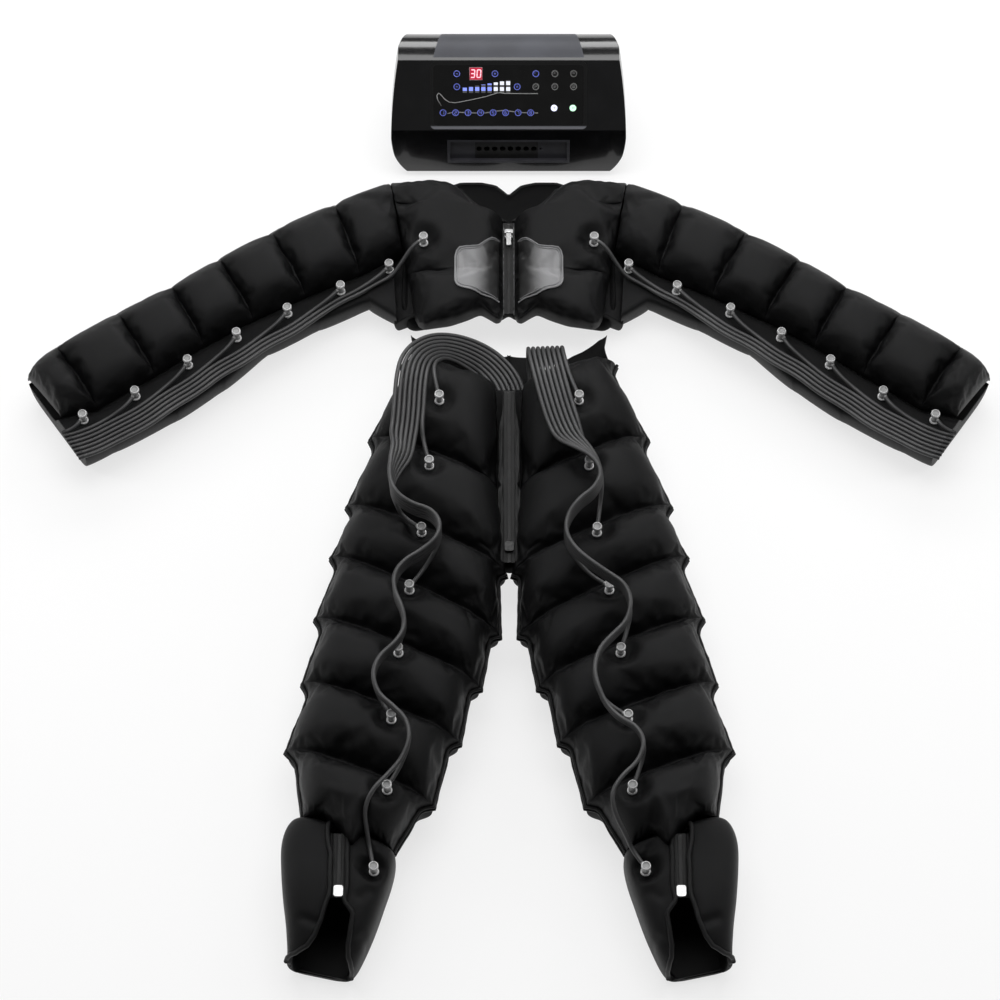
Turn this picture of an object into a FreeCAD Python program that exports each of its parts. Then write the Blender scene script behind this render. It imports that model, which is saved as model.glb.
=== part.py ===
import FreeCAD, Part
import math
import os

from FreeCAD import Placement, Rotation, Vector

# Driving dimensions, in millimetres and degrees.
# The set lies in one line along Y: trousers nearest, then the jacket, then the console on its feet.

WAIST_GAP = 24.0
CONSOLE_GAP = 49.0
OVERRUN = 40.0
RUNNING_GAP = 0.3

# Console case
CONSOLE_WIDTH = 370.0
CONSOLE_DEPTH = 188.0
CONSOLE_HEIGHT = 165.0
CASE_WALL = 3.0
CASE_ROUND = 5.0
PARTING_HEIGHT = 46.0
FRONT_SETBACK = 3.0
FRONT_LEAN = 25.0
TOP_RISE = 3.0
PANEL_LENGTH = 110.0
PANEL_TILT = 45.0
FOOT_HEIGHT = 10.0
FOOT_RADIUS = 9.0
FOOT_INSET = 34.0
SIDE_TOP_SHARES = ((0.1242, 0.9930), (0.2422, 0.9958), (0.7782, 0.885), (1.0, 0.618))
FRONT_OUTLINE_SHARES = ((0.87, 0.0), (0.966, 0.154), (1.0, 0.34), (0.9824, 0.673), (0.93, 1.0))
PLAN_OUTLINE_SHARES = ((0.93, 0.0), (0.986, 0.0723), (1.008, 0.16), (0.962, 0.588), (0.83, 1.0))

# Satin band let into the top of the case
BAND_FRONT_INSET = 67.0
BAND_REAR_INSET = 82.0
BAND_THICKNESS = 2.0
BAND_MARGIN = 5.0
BAND_FOOT_SHARE = 0.8

# Case screws, their columns and the power inlet
SCREW_RADIUS = 2.0
SCREW_HEAD_RADIUS = 3.8
SCREW_HEAD_LENGTH = 3.0
SCREW_LENGTH = 46.0
SCREW_CLEARANCE = 0.2
COLUMN_RADIUS = 6.0
COLUMN_INSET = 35.0
COLUMN_FRONT = 32.0
COLUMN_REAR_INSET = 28.0
INLET_WIDTH = 28.0
INLET_HEIGHT = 20.0
INLET_DEPTH = 24.0
INLET_WALL = 4.0
INLET_PIN_RADIUS = 1.2
INLET_PIN_SPACING = 8.6
INLET_INSET = 85.0
INLET_LEVEL = 72.0

# Panel: bezel, glass, display and level bars
BEZEL_INSET = 62.0
BEZEL_MARGIN = 2.0
BEZEL_CORNER = 8.0
BEZEL_PROUD = 1.0
BEZEL_DEPTH = 6.0
BEZEL_LEDGE = 4.0
GLASS_BORDER = 5.5
GLASS_CORNER = 5.0
GLASS_THICKNESS = 3.0
GLASS_DROP = 0.5
DISPLAY_WIDTH = 20.5
DISPLAY_HEIGHT = 20.0
DISPLAY_SHARES = (-0.218, 0.361)
BAR_WIDTH = 6.4
BAR_STEP_SHARE = 0.0413
BAR_SHORTEST = 8.0
BAR_LONGEST = 19.6
BAR_START_SHARE = -0.292
BAR_FOOT_SHARE = 0.045

# Keys and the board under them
KEY_RADIUS = 5.5
KEY_CLEARANCE = 0.4
KEY_PROUD = 0.9
KEY_TRAVEL = 0.6
KEY_FLANGE = 1.4
KEY_FLANGE_THICKNESS = 1.4
KEY_STEM_RADIUS = 2.2
SWITCH_SIZE = 6.2
SWITCH_HEIGHT = 3.6
BOARD_THICKNESS = 1.6
BOARD_DROP = 13.5
BOARD_POST_RADIUS = 2.6
BOARD_POST_INSET = 5.0
KEY_ROW_SHARES = {"time": 0.361, "pressure": 0.146, "lit": -0.206, "zone": -0.284}
KEY_SHARES = {
    "time_minus_key": (-0.345, "time"), "time_plus_key": (-0.091, "time"),
    "pressure_minus_key": (-0.345, "pressure"), "pressure_plus_key": (0.057, "pressure"),
    "power_key": (0.304, "lit"), "start_key": (0.429, "lit"),
}
MODE_COLUMN_SHARES = (0.181, 0.308, 0.433)
ZONE_START_SHARE = -0.438
ZONE_STEP_SHARE = 0.0836
ZONE_COUNT = 8

# Air outlets in the front wall
OUTLET_COUNT = 8
OUTLET_PITCH = 12.4
OUTLET_BORE = 9.2
OUTLET_OFFSET = -3.2
OUTLET_LEVEL_SHARE = 0.485
SOCKET_LENGTH = 14.0
SLOT_INSET = 88.5
SLOT_HEIGHT = 44.0
SLOT_RIM = 4.0
SLOT_RECESS = 7.0
MANIFOLD_BACK = 12.0
CHANNEL_RADIUS = 2.0
NIPPLE_RADIUS = 3.0
NIPPLE_LENGTH = 9.0
SENSE_RADIUS = 2.0
SENSE_STEP = 10.4
TUBE_WALL = 1.1
TUBE_CLEARANCE = 0.1
TUBE_FREE = 18.0
TUBE_END_GAP = 2.0

# Air distributor, pump and main board
HOUSING_WIDTH = 116.0
HOUSING_DEPTH = 62.0
HOUSING_HEIGHT = 34.0
DISC_RADIUS = 23.0
DISC_THICKNESS = 6.0
DISC_SHAFT_RADIUS = 3.0
DISC_SHAFT_LENGTH = 14.0
DISC_PORT_RADIUS = 3.0
MOTOR_PLATE = 58.0
MOTOR_PLATE_THICKNESS = 3.0
MOTOR_RADIUS = 21.0
MOTOR_HEIGHT = 22.0
PUMP_WIDTH_SHARE = 0.227
PUMP_HEIGHT = 48.0
PUMP_DOME_RADIUS = 17.0
PUMP_DOME_HEIGHT = 10.0
PUMP_MOUNT_RADIUS = 6.0
PUMP_MOUNT_HEIGHT = 9.0
PUMP_MOUNT_INSET = 12.0
INSIDE_OFFSET_SHARE = 0.319
INSIDE_DEPTH_SHARE = 0.784
MAIN_BOARD_WIDTH_SHARE = 0.211
MAIN_BOARD_POST = 7.0
CHIP_SIZE = 18.0
CHIP_HEIGHT = 4.0
COIL_RADIUS = 9.0
COIL_HEIGHT = 16.0

# Trousers. Each seam is a pair of tips, outer then inner, as shares of the spread and of the length.
TROUSER_LENGTH = 1025.0
LEG_SPREAD = 316.0
LEG_BACK = 50.0
LEG_GAP = 30.0
LEG_SEAM_RISE = 24.0
LEG_CROWN_RISE = 62.0
LEG_DRAW = 10.0
STRIP_WIDTH = 14.0
FLY_HALF = 17.0
CENTRE_GAP = 0.15
BACK_SEAM_SHARE = 0.8
OUTER_TIP_SHARES = ((0.513, 0.946), (0.655, 0.817), (0.756, 0.704), (0.823, 0.620), (0.886, 0.521),
                    (0.937, 0.419), (1.0, 0.315), (0.915, 0.2156))
INNER_TIP_SHARES = ((0.0, 0.900), (0.0, 0.733), (0.013, 0.595), (0.044, 0.496), (0.133, 0.4137),
                    (0.225, 0.3288), (0.339, 0.2332), (0.513, 0.1639))
BACK_WAIST_SHARES = ((0.475, 1.0), (0.0, 0.972))
WAIST_FRAME_COUNT = 2
ARCH_SHARES = ((0.0, 0.0), (0.06, 0.5), (0.2, 0.84), (0.5, 1.0), (0.8, 0.84), (0.94, 0.5), (1.0, 0.0))
TUB_SHARES = ((0.0, 0.0), (0.03, 0.6), (0.12, 1.0), (0.88, 1.0), (0.97, 0.6), (1.0, 0.0))
FRONT_STATION_SHARES = (0.0, 0.2, 0.5, 0.8, 1.0)
BACK_STATION_SHARES = (0.0, 0.25, 0.75, 1.0)
SWELL_POWER = 2.5

# Boots: stations from ankle to toe, tips as shares of the leg's spread and length.
BOOT_WALL = 11.0
SOLE_THICKNESS = 13.0
BOOT_HEIGHTS = (104.0, 110.0, 99.0, 62.0)
BOOT_OUTER_SHARES = ((0.915, 0.2156), (1.009, 0.165), (0.984, 0.077), (0.975, 0.019))
BOOT_INNER_SHARES = ((0.513, 0.1639), (0.520, 0.122), (0.601, 0.045), (0.690, 0.0))
BOOT_SHARES = ((0.10, 0.0), (0.90, 0.0), (1.0, 0.35), (0.93, 0.72), (0.5, 1.0), (0.07, 0.72), (0.0, 0.35))
SLIT_SHARES = ((0.716, 0.085), (0.772, 0.085), (0.80, 0.058), (0.945, -0.03), (0.71, -0.03), (0.69, 0.058))
BOOT_ZIP_WIDTH = 18.0
BOOT_ZIP_THICKNESS = 6.0
BOOT_ZIP_SHARES = ((0.744, 0.176), (0.744, 0.085))
BOOT_ZIP_HIGH = 107.0
BOOT_ZIP_LOW = 101.0

# Jacket. Tips as shares of the reach from the middle to the cuff and of the depth from hem to shoulder.
JACKET_REACH = 729.0
JACKET_DEPTH = 271.0
JACKET_BACK = 32.0
JACKET_GAP = 24.0
SLEEVE_SEAM_RISE = 22.0
SLEEVE_CROWN_RISE = 52.0
SLEEVE_DRAW = 4.0
CHEST_SEAM_RISE = 26.0
CHEST_CROWN_RISE = 43.0
CHEST_CLEARANCE = 1.5
SLEEVE_TOP_SHARES = ((0.255, 0.930), (0.376, 0.790), (0.508, 0.587), (0.616, 0.402), (0.713, 0.210),
                     (0.822, 0.033), (0.945, -0.185), (1.0, -0.343))
SLEEVE_LOW_SHARES = ((0.224, 0.480), (0.314, 0.336), (0.427, 0.188), (0.535, 0.030), (0.636, -0.144),
                     (0.734, -0.339), (0.848, -0.557), (0.923, -0.605))
SLEEVE_EDGE_SHARES = ((0.235, 0.060), (0.292, 0.180), (0.396, 0.041), (0.502, -0.125), (0.588, -0.358),
                      (0.683, -0.561), (0.804, -0.760), (0.868, -0.852))
CHEST_OUTER_SHARES = (0.02, 0.40, 1.35, 1.85)
CHEST_INNER_SHARES = ((0.108, 0.923), (0.0, 0.697), (0.0, 0.277), (0.0, 0.055))
HEM_SHARES = ((0.233, 0.0), (0.0, 0.0))
SHOULDER_SHARES = ((0.253, 0.930), (0.0, 0.930))
COLLAR_SHARES = ((0.185, 0.930), (0.126, 1.0), (0.03, 0.985), (0.0, 0.930))
COLLAR_LOW = 8.0
SIDE_STRIP_SHARES = ((0.224, 0.480), (0.235, 0.060), (0.233, 0.0), (0.210, 0.0), (0.200, 0.480))

# Zip tapes and sliders
ZIP_HALF = 13.0
ZIP_TAPE_HALF = 24.0
ZIP_TAPE_THICKNESS = 4.0
ZIP_COIL_HALF = 3.5
ZIP_COIL_HEIGHT = 4.0
ZIP_END_MARGIN = 6.0
SLIDER_WIDTH = 13.0
SLIDER_LENGTH = 16.0
SLIDER_HEIGHT = 4.5
PULL_WIDTH = 7.0
PULL_LENGTH = 24.0
PULL_THICKNESS = 2.2
PULL_PIN_RADIUS = 1.1
PULL_EYE = 3.0
JACKET_SLIDER_SHARE = 0.90
FLY_SLIDER_SHARE = 0.06

# Hose fittings and hoses
FLANGE_RADIUS = 7.2
FLANGE_THICKNESS = 3.0
NECK_RADIUS = 4.4
NECK_HEIGHT = 14.0
CAP_RADIUS = 6.8
CAP_HEIGHT = 6.0
BARB_RADIUS = 2.6
BARB_REACH = 10.0
BARB_DROP = 3.6
SEAT_MARGIN = 1.3
SEAT_SINK = 8.5
BOOT_SEAT_DEPTH = 23.0
BED_FITTING_STEP = 13.0
BED_FITTING_SHARE = 0.42
LEG_FITTING_SHARES = ((0.53, 0.49), (0.30, 0.49), (0.20, 0.49), (0.21, 0.495), (0.26, 0.54), (0.27, 0.615),
                      (0.28, 0.745))
BOOT_FITTING_SHARE = 0.85
CHEST_FITTING_SHARES = (0.58, 0.22)
HOSE_RADIUS = 3.2
HOSE_PITCH = 7.2
ARC_SHARE = 0.45
LEG_APPROACH = 24.0
SLEEVE_APPROACH = 12.0
LEG_CURL_SHARE = 0.2
SLEEVE_CURL_SHARE = 1.0
CUFF_STAGGER = 1.8
PLUG_LENGTH = 16.0
PLUG_THICKNESS = 13.0
PLUG_MARGIN = 3.0
FERRULE_RADIUS = 3.5
FERRULE_LENGTH = 9.0

# Hose routes from plug to last fitting: x, y, z in route units, twist of the bundle, first lane still in it.
# The counts say how many points of its route each hose follows before it turns to its fitting.
ROUTE_UNIT = 1.0
LEG_ROUTE_RISE = 778.5
SLEEVE_ROUTE_DROP = 270.5
LEFT_LEG_ROUTE_SHARES = (
    (-16, 110, 57, 0, 1), (-17, 138, 57, 0, 1), (-26, 165, 58, 0, 1), (-45, 186, 63, 0, 1),
    (-70, 193, 80, 0, 1), (-93, 189, 102, 0, 1), (-109, 174, 122, 0, 1), (-119, 152, 138, 0, 1),
    (-123, 124, 149, 0, 1), (-125, 94, 153, 0, 1), (-126, 64, 154, 0, 1), (-128, 34, 154, 0, 1),
    (-132, 4, 154, 12, 1), (-144, -23, 154, 40, 2), (-161, -48, 155, 70, 2), (-172, -76, 156, 88, 2),
    (-163, -102, 156, 90, 2), (-139, -116, 156, 90, 3), (-113, -124, 156, 90, 3), (-98, -145, 156, 90, 3),
    (-103, -171, 156, 90, 3), (-125, -188, 156, 90, 4), (-149, -203, 156, 90, 4), (-165, -226, 156, 90, 4),
    (-163, -254, 156, 90, 4), (-151, -280, 156, 90, 4), (-147, -307, 156, 90, 5), (-160, -332, 156, 90, 5),
    (-182, -352, 156, 90, 5), (-193, -379, 156, 90, 5), (-185, -408, 156, 90, 6), (-163, -428, 156, 90, 6),
    (-143, -449, 156, 90, 6), (-138, -478, 156, 90, 6), (-149, -506, 156, 90, 7), (-169, -531, 156, 90, 7),
    (-190, -554, 156, 90, 7), (-201, -577, 140, 90, 7), (-197, -600, 118, 90, 7))
LEFT_LEG_POINT_COUNTS = (8, 12, 17, 21, 26, 30, 34, 39)
RIGHT_LEG_ROUTE_SHARES = (
    (86, 108, 57, 180, 1), (82, 136, 57, 180, 1), (76, 163, 60, 180, 1), (72, 188, 74, 180, 1),
    (72, 200, 99, 180, 1), (72, 190, 125, 0, 1), (74, 165, 141, 0, 1), (79, 136, 150, 0, 1),
    (85, 106, 153, 0, 1), (92, 76, 154, 0, 1), (100, 47, 154, 0, 1), (109, 18, 157, 12, 1),
    (121, -10, 160, 40, 2), (132, -38, 160, 70, 2), (135, -67, 158, 88, 2), (123, -93, 156, 90, 2),
    (100, -111, 156, 90, 2), (83, -134, 156, 90, 3), (80, -162, 156, 90, 3), (93, -188, 156, 90, 3),
    (115, -209, 156, 90, 3), (141, -225, 156, 90, 4), (164, -242, 156, 90, 4), (173, -269, 156, 90, 4),
    (166, -298, 156, 90, 5), (146, -319, 156, 90, 5), (127, -340, 156, 90, 5), (118, -368, 156, 90, 5),
    (122, -397, 156, 90, 5), (134, -425, 156, 90, 6), (153, -447, 156, 90, 6), (177, -460, 156, 90, 6),
    (188, -485, 156, 90, 6), (177, -512, 156, 90, 7), (155, -532, 156, 90, 7), (140, -556, 152, 90, 7),
    (145, -584, 140, 90, 7), (160, -606, 122, 90, 7))
RIGHT_LEG_POINT_COUNTS = (8, 11, 15, 20, 24, 29, 33, 38)
SLEEVE_ROUTE_SHARES = (
    (-661, 81, 60, 0, 0), (-634, 90, 60, 0, 0), (-598, 105, 60, 0, 1), (-562, 127, 60, 0, 1),
    (-524, 152, 60, 0, 2), (-487, 178, 60, 0, 2), (-451, 203, 60, 0, 3), (-414, 227, 60, 0, 3),
    (-377, 250, 60, 0, 4), (-339, 272, 60, 0, 4), (-301, 295, 60, 0, 5), (-264, 316, 60, 0, 6),
    (-232, 333, 60, 0, 6), (-203, 346, 60, 0, 7), (-180, 358, 62, 0, 7), (-164, 374, 77, 0, 7))
SLEEVE_POINT_COUNTS = (1, 3, 5, 7, 9, 11, 13, 16)


# Small helpers

def lerp(start, end, share):
    return start + (end - start) * share


def outline(start, *steps):
    """Closed wire: each step is a point for a line, or a pair (through, end) for an arc."""
    edges = []
    here = start
    for step in steps:
        if isinstance(step, tuple):
            edges.append(Part.Arc(here, step[0], step[1]).toShape())
            here = step[1]
        else:
            edges.append(Part.LineSegment(here, step).toShape())
            here = step
    return Part.Wire(edges)


def plate(points, low, high):
    """Upright prism over plan points."""
    corners = [Vector(p.x, p.y, low) for p in points]
    return Part.Face(outline(corners[0], *corners[1:], corners[0])).extrude(Vector(0, 0, high - low))


def block(width, depth, height, middle):
    """Box centred on middle in x and y, standing on middle's height."""
    return Part.makeBox(width, depth, height, middle - Vector(width / 2, depth / 2, 0))


def rounded_plate(width, depth, corner, low, high):
    """Flat plate with round corners, centred on the origin."""
    box = block(width, depth, high - low, Vector(0, 0, low))
    upright = [e for e in box.Edges if abs(e.Vertexes[0].Z - e.Vertexes[1].Z) > (high - low) / 2]
    return box.makeFillet(corner, upright)


def rod(radius, low, high, middle=Vector(0, 0, 0)):
    """Upright cylinder between two heights above middle."""
    return Part.makeCylinder(radius, high - low, middle + Vector(0, 0, low))


def placed(shape, placement):
    copy = shape.copy()
    copy.Placement = placement.multiply(copy.Placement)
    return copy


def mirrored(shape):
    return shape.mirror(Vector(0, 0, 0), Vector(1, 0, 0))


def both_sides(shapes):
    return shapes + [mirrored(shape) for shape in shapes]


# Where the pieces of the set lie along Y

SET_LENGTH = TROUSER_LENGTH + WAIST_GAP + JACKET_DEPTH + CONSOLE_GAP + CONSOLE_DEPTH
TOE_Y = -SET_LENGTH / 2
HEM_Y = TOE_Y + TROUSER_LENGTH + WAIST_GAP
CONSOLE_Y = SET_LENGTH / 2 - CONSOLE_DEPTH


# Console case

PANEL_RUN = PANEL_LENGTH * math.cos(math.radians(PANEL_TILT))
PANEL_CLIMB = PANEL_LENGTH * math.sin(math.radians(PANEL_TILT))
PANEL_FOOT_Y = FRONT_SETBACK + FRONT_LEAN
PANEL_FOOT_Z = CONSOLE_HEIGHT - TOP_RISE - PANEL_CLIMB
WALL_TILT = math.degrees(math.atan2(PANEL_FOOT_Z - FOOT_HEIGHT, FRONT_LEAN))
PANEL_PLACE = Placement(Vector(0, PANEL_FOOT_Y + PANEL_RUN / 2, PANEL_FOOT_Z + PANEL_CLIMB / 2),
                        Rotation(Vector(1, 0, 0), PANEL_TILT))
WALL_PLACE = Placement(Vector(0, lerp(FRONT_SETBACK, PANEL_FOOT_Y, OUTLET_LEVEL_SHARE),
                              lerp(FOOT_HEIGHT, PANEL_FOOT_Z, OUTLET_LEVEL_SHARE)),
                       Rotation(Vector(1, 0, 0), WALL_TILT))
FLOOR_Z = FOOT_HEIGHT + CASE_WALL
BEZEL_WIDTH = CONSOLE_WIDTH - BEZEL_INSET * 2
BEZEL_HEIGHT = PANEL_LENGTH - BEZEL_MARGIN * 2
GLASS_WIDTH = BEZEL_WIDTH - GLASS_BORDER * 2
GLASS_HEIGHT = BEZEL_HEIGHT - GLASS_BORDER * 2
SLOT_WIDTH = CONSOLE_WIDTH - SLOT_INSET * 2
INLET_OFFSET = CONSOLE_WIDTH / 2 - INLET_INSET
COLUMN_REAR = CONSOLE_DEPTH - COLUMN_REAR_INSET
GLASS_TOP = BEZEL_PROUD - GLASS_DROP
GLASS_UNDER = GLASS_TOP - GLASS_THICKNESS


def side_face():
    def at(y, z):
        return Vector(-CONSOLE_WIDTH, y, z)
    front = at(FRONT_SETBACK, FOOT_HEIGHT)
    panel_top = at(PANEL_FOOT_Y + PANEL_RUN, PANEL_FOOT_Z + PANEL_CLIMB)
    top = [at(lerp(panel_top.y, CONSOLE_DEPTH, y), z * CONSOLE_HEIGHT) for y, z in SIDE_TOP_SHARES]
    return Part.Face(outline(front, at(PANEL_FOOT_Y, PANEL_FOOT_Z), panel_top, (top[0], top[1]),
                             (top[2], top[3]), at(CONSOLE_DEPTH, FOOT_HEIGHT), front))


def mirrored_outline(shares, place):
    """Face of a right half given by shares, an arc through each odd point, and its mirror half."""
    right = [place(x, v) for x, v in shares]
    left = [place(-x, v) for x, v in shares]
    return Part.Face(outline(right[0], (right[1], right[2]), (right[3], right[4]), left[4],
                             (left[3], left[2]), (left[1], left[0]), right[0]))


def front_face():
    tall = CONSOLE_HEIGHT + TOP_RISE - FOOT_HEIGHT
    return mirrored_outline(FRONT_OUTLINE_SHARES, lambda x, z: Vector(
        x * CONSOLE_WIDTH / 2, -CONSOLE_DEPTH, FOOT_HEIGHT + z * tall))


def plan_face():
    return mirrored_outline(PLAN_OUTLINE_SHARES, lambda x, y: Vector(
        x * CONSOLE_WIDTH / 2, FRONT_SETBACK + y * (CONSOLE_DEPTH - FRONT_SETBACK), 0))


def case_block(inset):
    """The console's outer form, or the same form drawn in by inset."""
    faces = [side_face(), front_face(), plan_face()]
    if inset:
        faces = [face.makeOffset2D(-inset) for face in faces]
    along = (Vector(CONSOLE_WIDTH * 2, 0, 0), Vector(0, CONSOLE_DEPTH * 3, 0),
             Vector(0, 0, CONSOLE_HEIGHT * 2))
    side, front, plan = [face.extrude(step) for face, step in zip(faces, along)]
    return front.common(plan).common(side)


def rounded_case():
    """The outer form with the two long edges of the panel slope rounded."""
    form = case_block(0)
    levels = (PANEL_FOOT_Z, PANEL_FOOT_Z + PANEL_CLIMB)
    edges = [e for e in form.Edges if e.BoundBox.XLength > CONSOLE_WIDTH / 2
             and min(abs(e.CenterOfMass.z - level) for level in levels) < CASE_WALL / 4]
    return form.makeFillet(CASE_ROUND, edges)


def case_spots(front, rear):
    across = CONSOLE_WIDTH / 2 - COLUMN_INSET
    return [Vector(x, y, 0) for x in (-across, across) for y in (front, rear)]


def make_band():
    """Satin strip on the top of the case, and the pocket that it lies in."""
    front = PANEL_FOOT_Y + PANEL_RUN + BAND_MARGIN
    rear = CONSOLE_DEPTH - BAND_MARGIN
    wide = CONSOLE_WIDTH / 2 - BAND_FRONT_INSET
    narrow = CONSOLE_WIDTH / 2 - BAND_REAR_INSET
    corners = [Vector(-wide, front, 0), Vector(wide, front, 0),
               Vector(narrow, rear, 0), Vector(-narrow, rear, 0)]
    region = plate(corners, CONSOLE_HEIGHT * BAND_FOOT_SHARE, CONSOLE_HEIGHT + OVERRUN)
    band = case_block(0).common(region).cut(case_block(BAND_THICKNESS))
    pocket = region.cut(case_block(BAND_THICKNESS + RUNNING_GAP / 2))
    return band, pocket


def make_case(band_pocket):
    shell = rounded_case().cut(case_block(CASE_WALL))
    span = CONSOLE_WIDTH + OVERRUN
    lower = block(span, span, PARTING_HEIGHT + OVERRUN, Vector(0, span / 2 - OVERRUN, -OVERRUN))
    slot = placed(block(SLOT_WIDTH, SLOT_HEIGHT, OVERRUN, Vector(0, 0, -OVERRUN / 2)), WALL_PLACE)
    inlet = Part.makeBox(INLET_WIDTH, OVERRUN, INLET_HEIGHT,
                         Vector(INLET_OFFSET - INLET_WIDTH / 2, CONSOLE_DEPTH - OVERRUN / 2, INLET_LEVEL))
    window = rounded_plate(BEZEL_WIDTH, BEZEL_HEIGHT, BEZEL_CORNER, -OVERRUN / 4, OVERRUN)
    base = shell.common(lower).cut(slot)
    cover = shell.cut(lower).cut(slot).cut(placed(window, PANEL_PLACE)).cut(band_pocket).cut(inlet)
    inner = case_block(BAND_THICKNESS + RUNNING_GAP)
    screw_foot = FOOT_HEIGHT + SCREW_HEAD_LENGTH
    for spot in case_spots(COLUMN_FRONT, COLUMN_REAR):
        base = base.fuse(rod(COLUMN_RADIUS, FOOT_HEIGHT, PARTING_HEIGHT, spot))
        base = base.cut(rod(SCREW_RADIUS + SCREW_CLEARANCE, 0, PARTING_HEIGHT + OVERRUN, spot))
        base = base.cut(rod(SCREW_HEAD_RADIUS + SCREW_CLEARANCE, 0, screw_foot, spot))
        column = rod(COLUMN_RADIUS, PARTING_HEIGHT, CONSOLE_HEIGHT, spot).common(inner)
        pilot = rod(SCREW_RADIUS + SCREW_CLEARANCE, 0, screw_foot + SCREW_LENGTH + SCREW_CLEARANCE, spot)
        cover = cover.fuse(column).cut(pilot)
    post_foot = FOOT_HEIGHT + CASE_WALL / 2
    for spot in board_post_spots():
        base = base.fuse(rod(BOARD_POST_RADIUS, post_foot, FLOOR_Z + MAIN_BOARD_POST, spot))
    return base.removeSplitter(), cover.removeSplitter()


def board_post_spots():
    across = MAIN_BOARD_WIDTH / 2 - BOARD_POST_INSET
    along = INSIDE_DEPTH / 2 - BOARD_POST_INSET
    middle = Vector(INSIDE_OFFSET, INSIDE_MIDDLE, 0)
    return [middle + Vector(x, y, 0) for x in (-across, across) for y in (-along, along)]


def make_screws():
    screws = []
    for spot in case_spots(COLUMN_FRONT, COLUMN_REAR):
        head = rod(SCREW_HEAD_RADIUS, FOOT_HEIGHT, FOOT_HEIGHT + SCREW_HEAD_LENGTH, spot)
        shank = rod(SCREW_RADIUS, FOOT_HEIGHT, FOOT_HEIGHT + SCREW_HEAD_LENGTH + SCREW_LENGTH, spot)
        screws.append(head.fuse(shank).removeSplitter())
    return screws


def make_feet():
    across = CONSOLE_WIDTH / 2 - COLUMN_INSET - FOOT_INSET / 2
    front = FRONT_SETBACK + FOOT_INSET / 2
    rear = CONSOLE_DEPTH - FOOT_INSET
    spots = [Vector(x, y, 0) for x in (-across, across) for y in (front, rear)]
    return [rod(FOOT_RADIUS, 0, FOOT_HEIGHT, spot) for spot in spots]


def make_inlet():
    body = Part.makeBox(INLET_WIDTH, INLET_DEPTH, INLET_HEIGHT,
                        Vector(INLET_OFFSET - INLET_WIDTH / 2, CONSOLE_DEPTH - INLET_DEPTH, INLET_LEVEL))
    mouth = Part.makeBox(INLET_WIDTH - INLET_WALL * 2, INLET_DEPTH, INLET_HEIGHT - INLET_WALL * 2,
                         Vector(INLET_OFFSET - INLET_WIDTH / 2 + INLET_WALL,
                                CONSOLE_DEPTH - INLET_DEPTH + INLET_WALL, INLET_LEVEL + INLET_WALL))
    body = body.cut(mouth)
    for side in (-1, 1):
        foot = Vector(INLET_OFFSET + side * INLET_PIN_SPACING / 2, CONSOLE_DEPTH - INLET_DEPTH,
                      INLET_LEVEL + INLET_HEIGHT / 2)
        body = body.fuse(Part.makeCylinder(INLET_PIN_RADIUS, INLET_DEPTH - INLET_WALL, foot, Vector(0, 1, 0)))
    return body.removeSplitter()


# Panel with its keys

def key_places():
    """Every key's name and place on the glass."""
    shares = dict(KEY_SHARES)
    for number in range(len(MODE_COLUMN_SHARES) * 2):
        row = ("time", "pressure")[number // len(MODE_COLUMN_SHARES)]
        column = MODE_COLUMN_SHARES[number % len(MODE_COLUMN_SHARES)]
        shares["mode_key_%d" % (number + 1)] = (column, row)
    for number in range(ZONE_COUNT):
        shares["zone_key_%d" % (number + 1)] = (ZONE_START_SHARE + number * ZONE_STEP_SHARE, "zone")
    return {name: Vector(column * GLASS_WIDTH, KEY_ROW_SHARES[row] * GLASS_HEIGHT, 0)
            for name, (column, row) in shares.items()}


def make_key(spot):
    flange_top = GLASS_UNDER - RUNNING_GAP
    stem_foot = -BOARD_DROP + SWITCH_HEIGHT + KEY_TRAVEL + RUNNING_GAP
    key = rod(KEY_RADIUS, flange_top - KEY_FLANGE_THICKNESS, GLASS_TOP + KEY_PROUD, spot)
    key = key.fuse(rod(KEY_RADIUS + KEY_FLANGE, flange_top - KEY_FLANGE_THICKNESS, flange_top, spot))
    return key.fuse(rod(KEY_STEM_RADIUS, stem_foot, flange_top, spot)).removeSplitter()


def make_display():
    return block(DISPLAY_WIDTH, DISPLAY_HEIGHT, GLASS_THICKNESS,
                 Vector(DISPLAY_SHARES[0] * GLASS_WIDTH, DISPLAY_SHARES[1] * GLASS_HEIGHT, GLASS_UNDER))


def make_bars():
    bars = []
    for number in range(ZONE_COUNT):
        tall = lerp(BAR_SHORTEST, BAR_LONGEST, number / (ZONE_COUNT - 1))
        x = (BAR_START_SHARE + number * BAR_STEP_SHARE) * GLASS_WIDTH
        bars.append(block(BAR_WIDTH, tall, GLASS_THICKNESS,
                          Vector(x, BAR_FOOT_SHARE * GLASS_HEIGHT + tall / 2, GLASS_UNDER)))
    return bars


def make_glass(places, lights):
    glass = rounded_plate(GLASS_WIDTH, GLASS_HEIGHT, GLASS_CORNER, GLASS_UNDER, GLASS_TOP)
    for spot in places.values():
        glass = glass.cut(rod(KEY_RADIUS + KEY_CLEARANCE, -OVERRUN, OVERRUN, spot))
    for light in lights:
        glass = glass.cut(light)
    return glass


def board_posts():
    across = BEZEL_WIDTH / 2 - BOARD_POST_INSET
    up = BEZEL_HEIGHT / 2 - BOARD_POST_INSET
    return [Vector(x, y, 0) for x in (-across, across) for y in (-up, up)]


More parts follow.
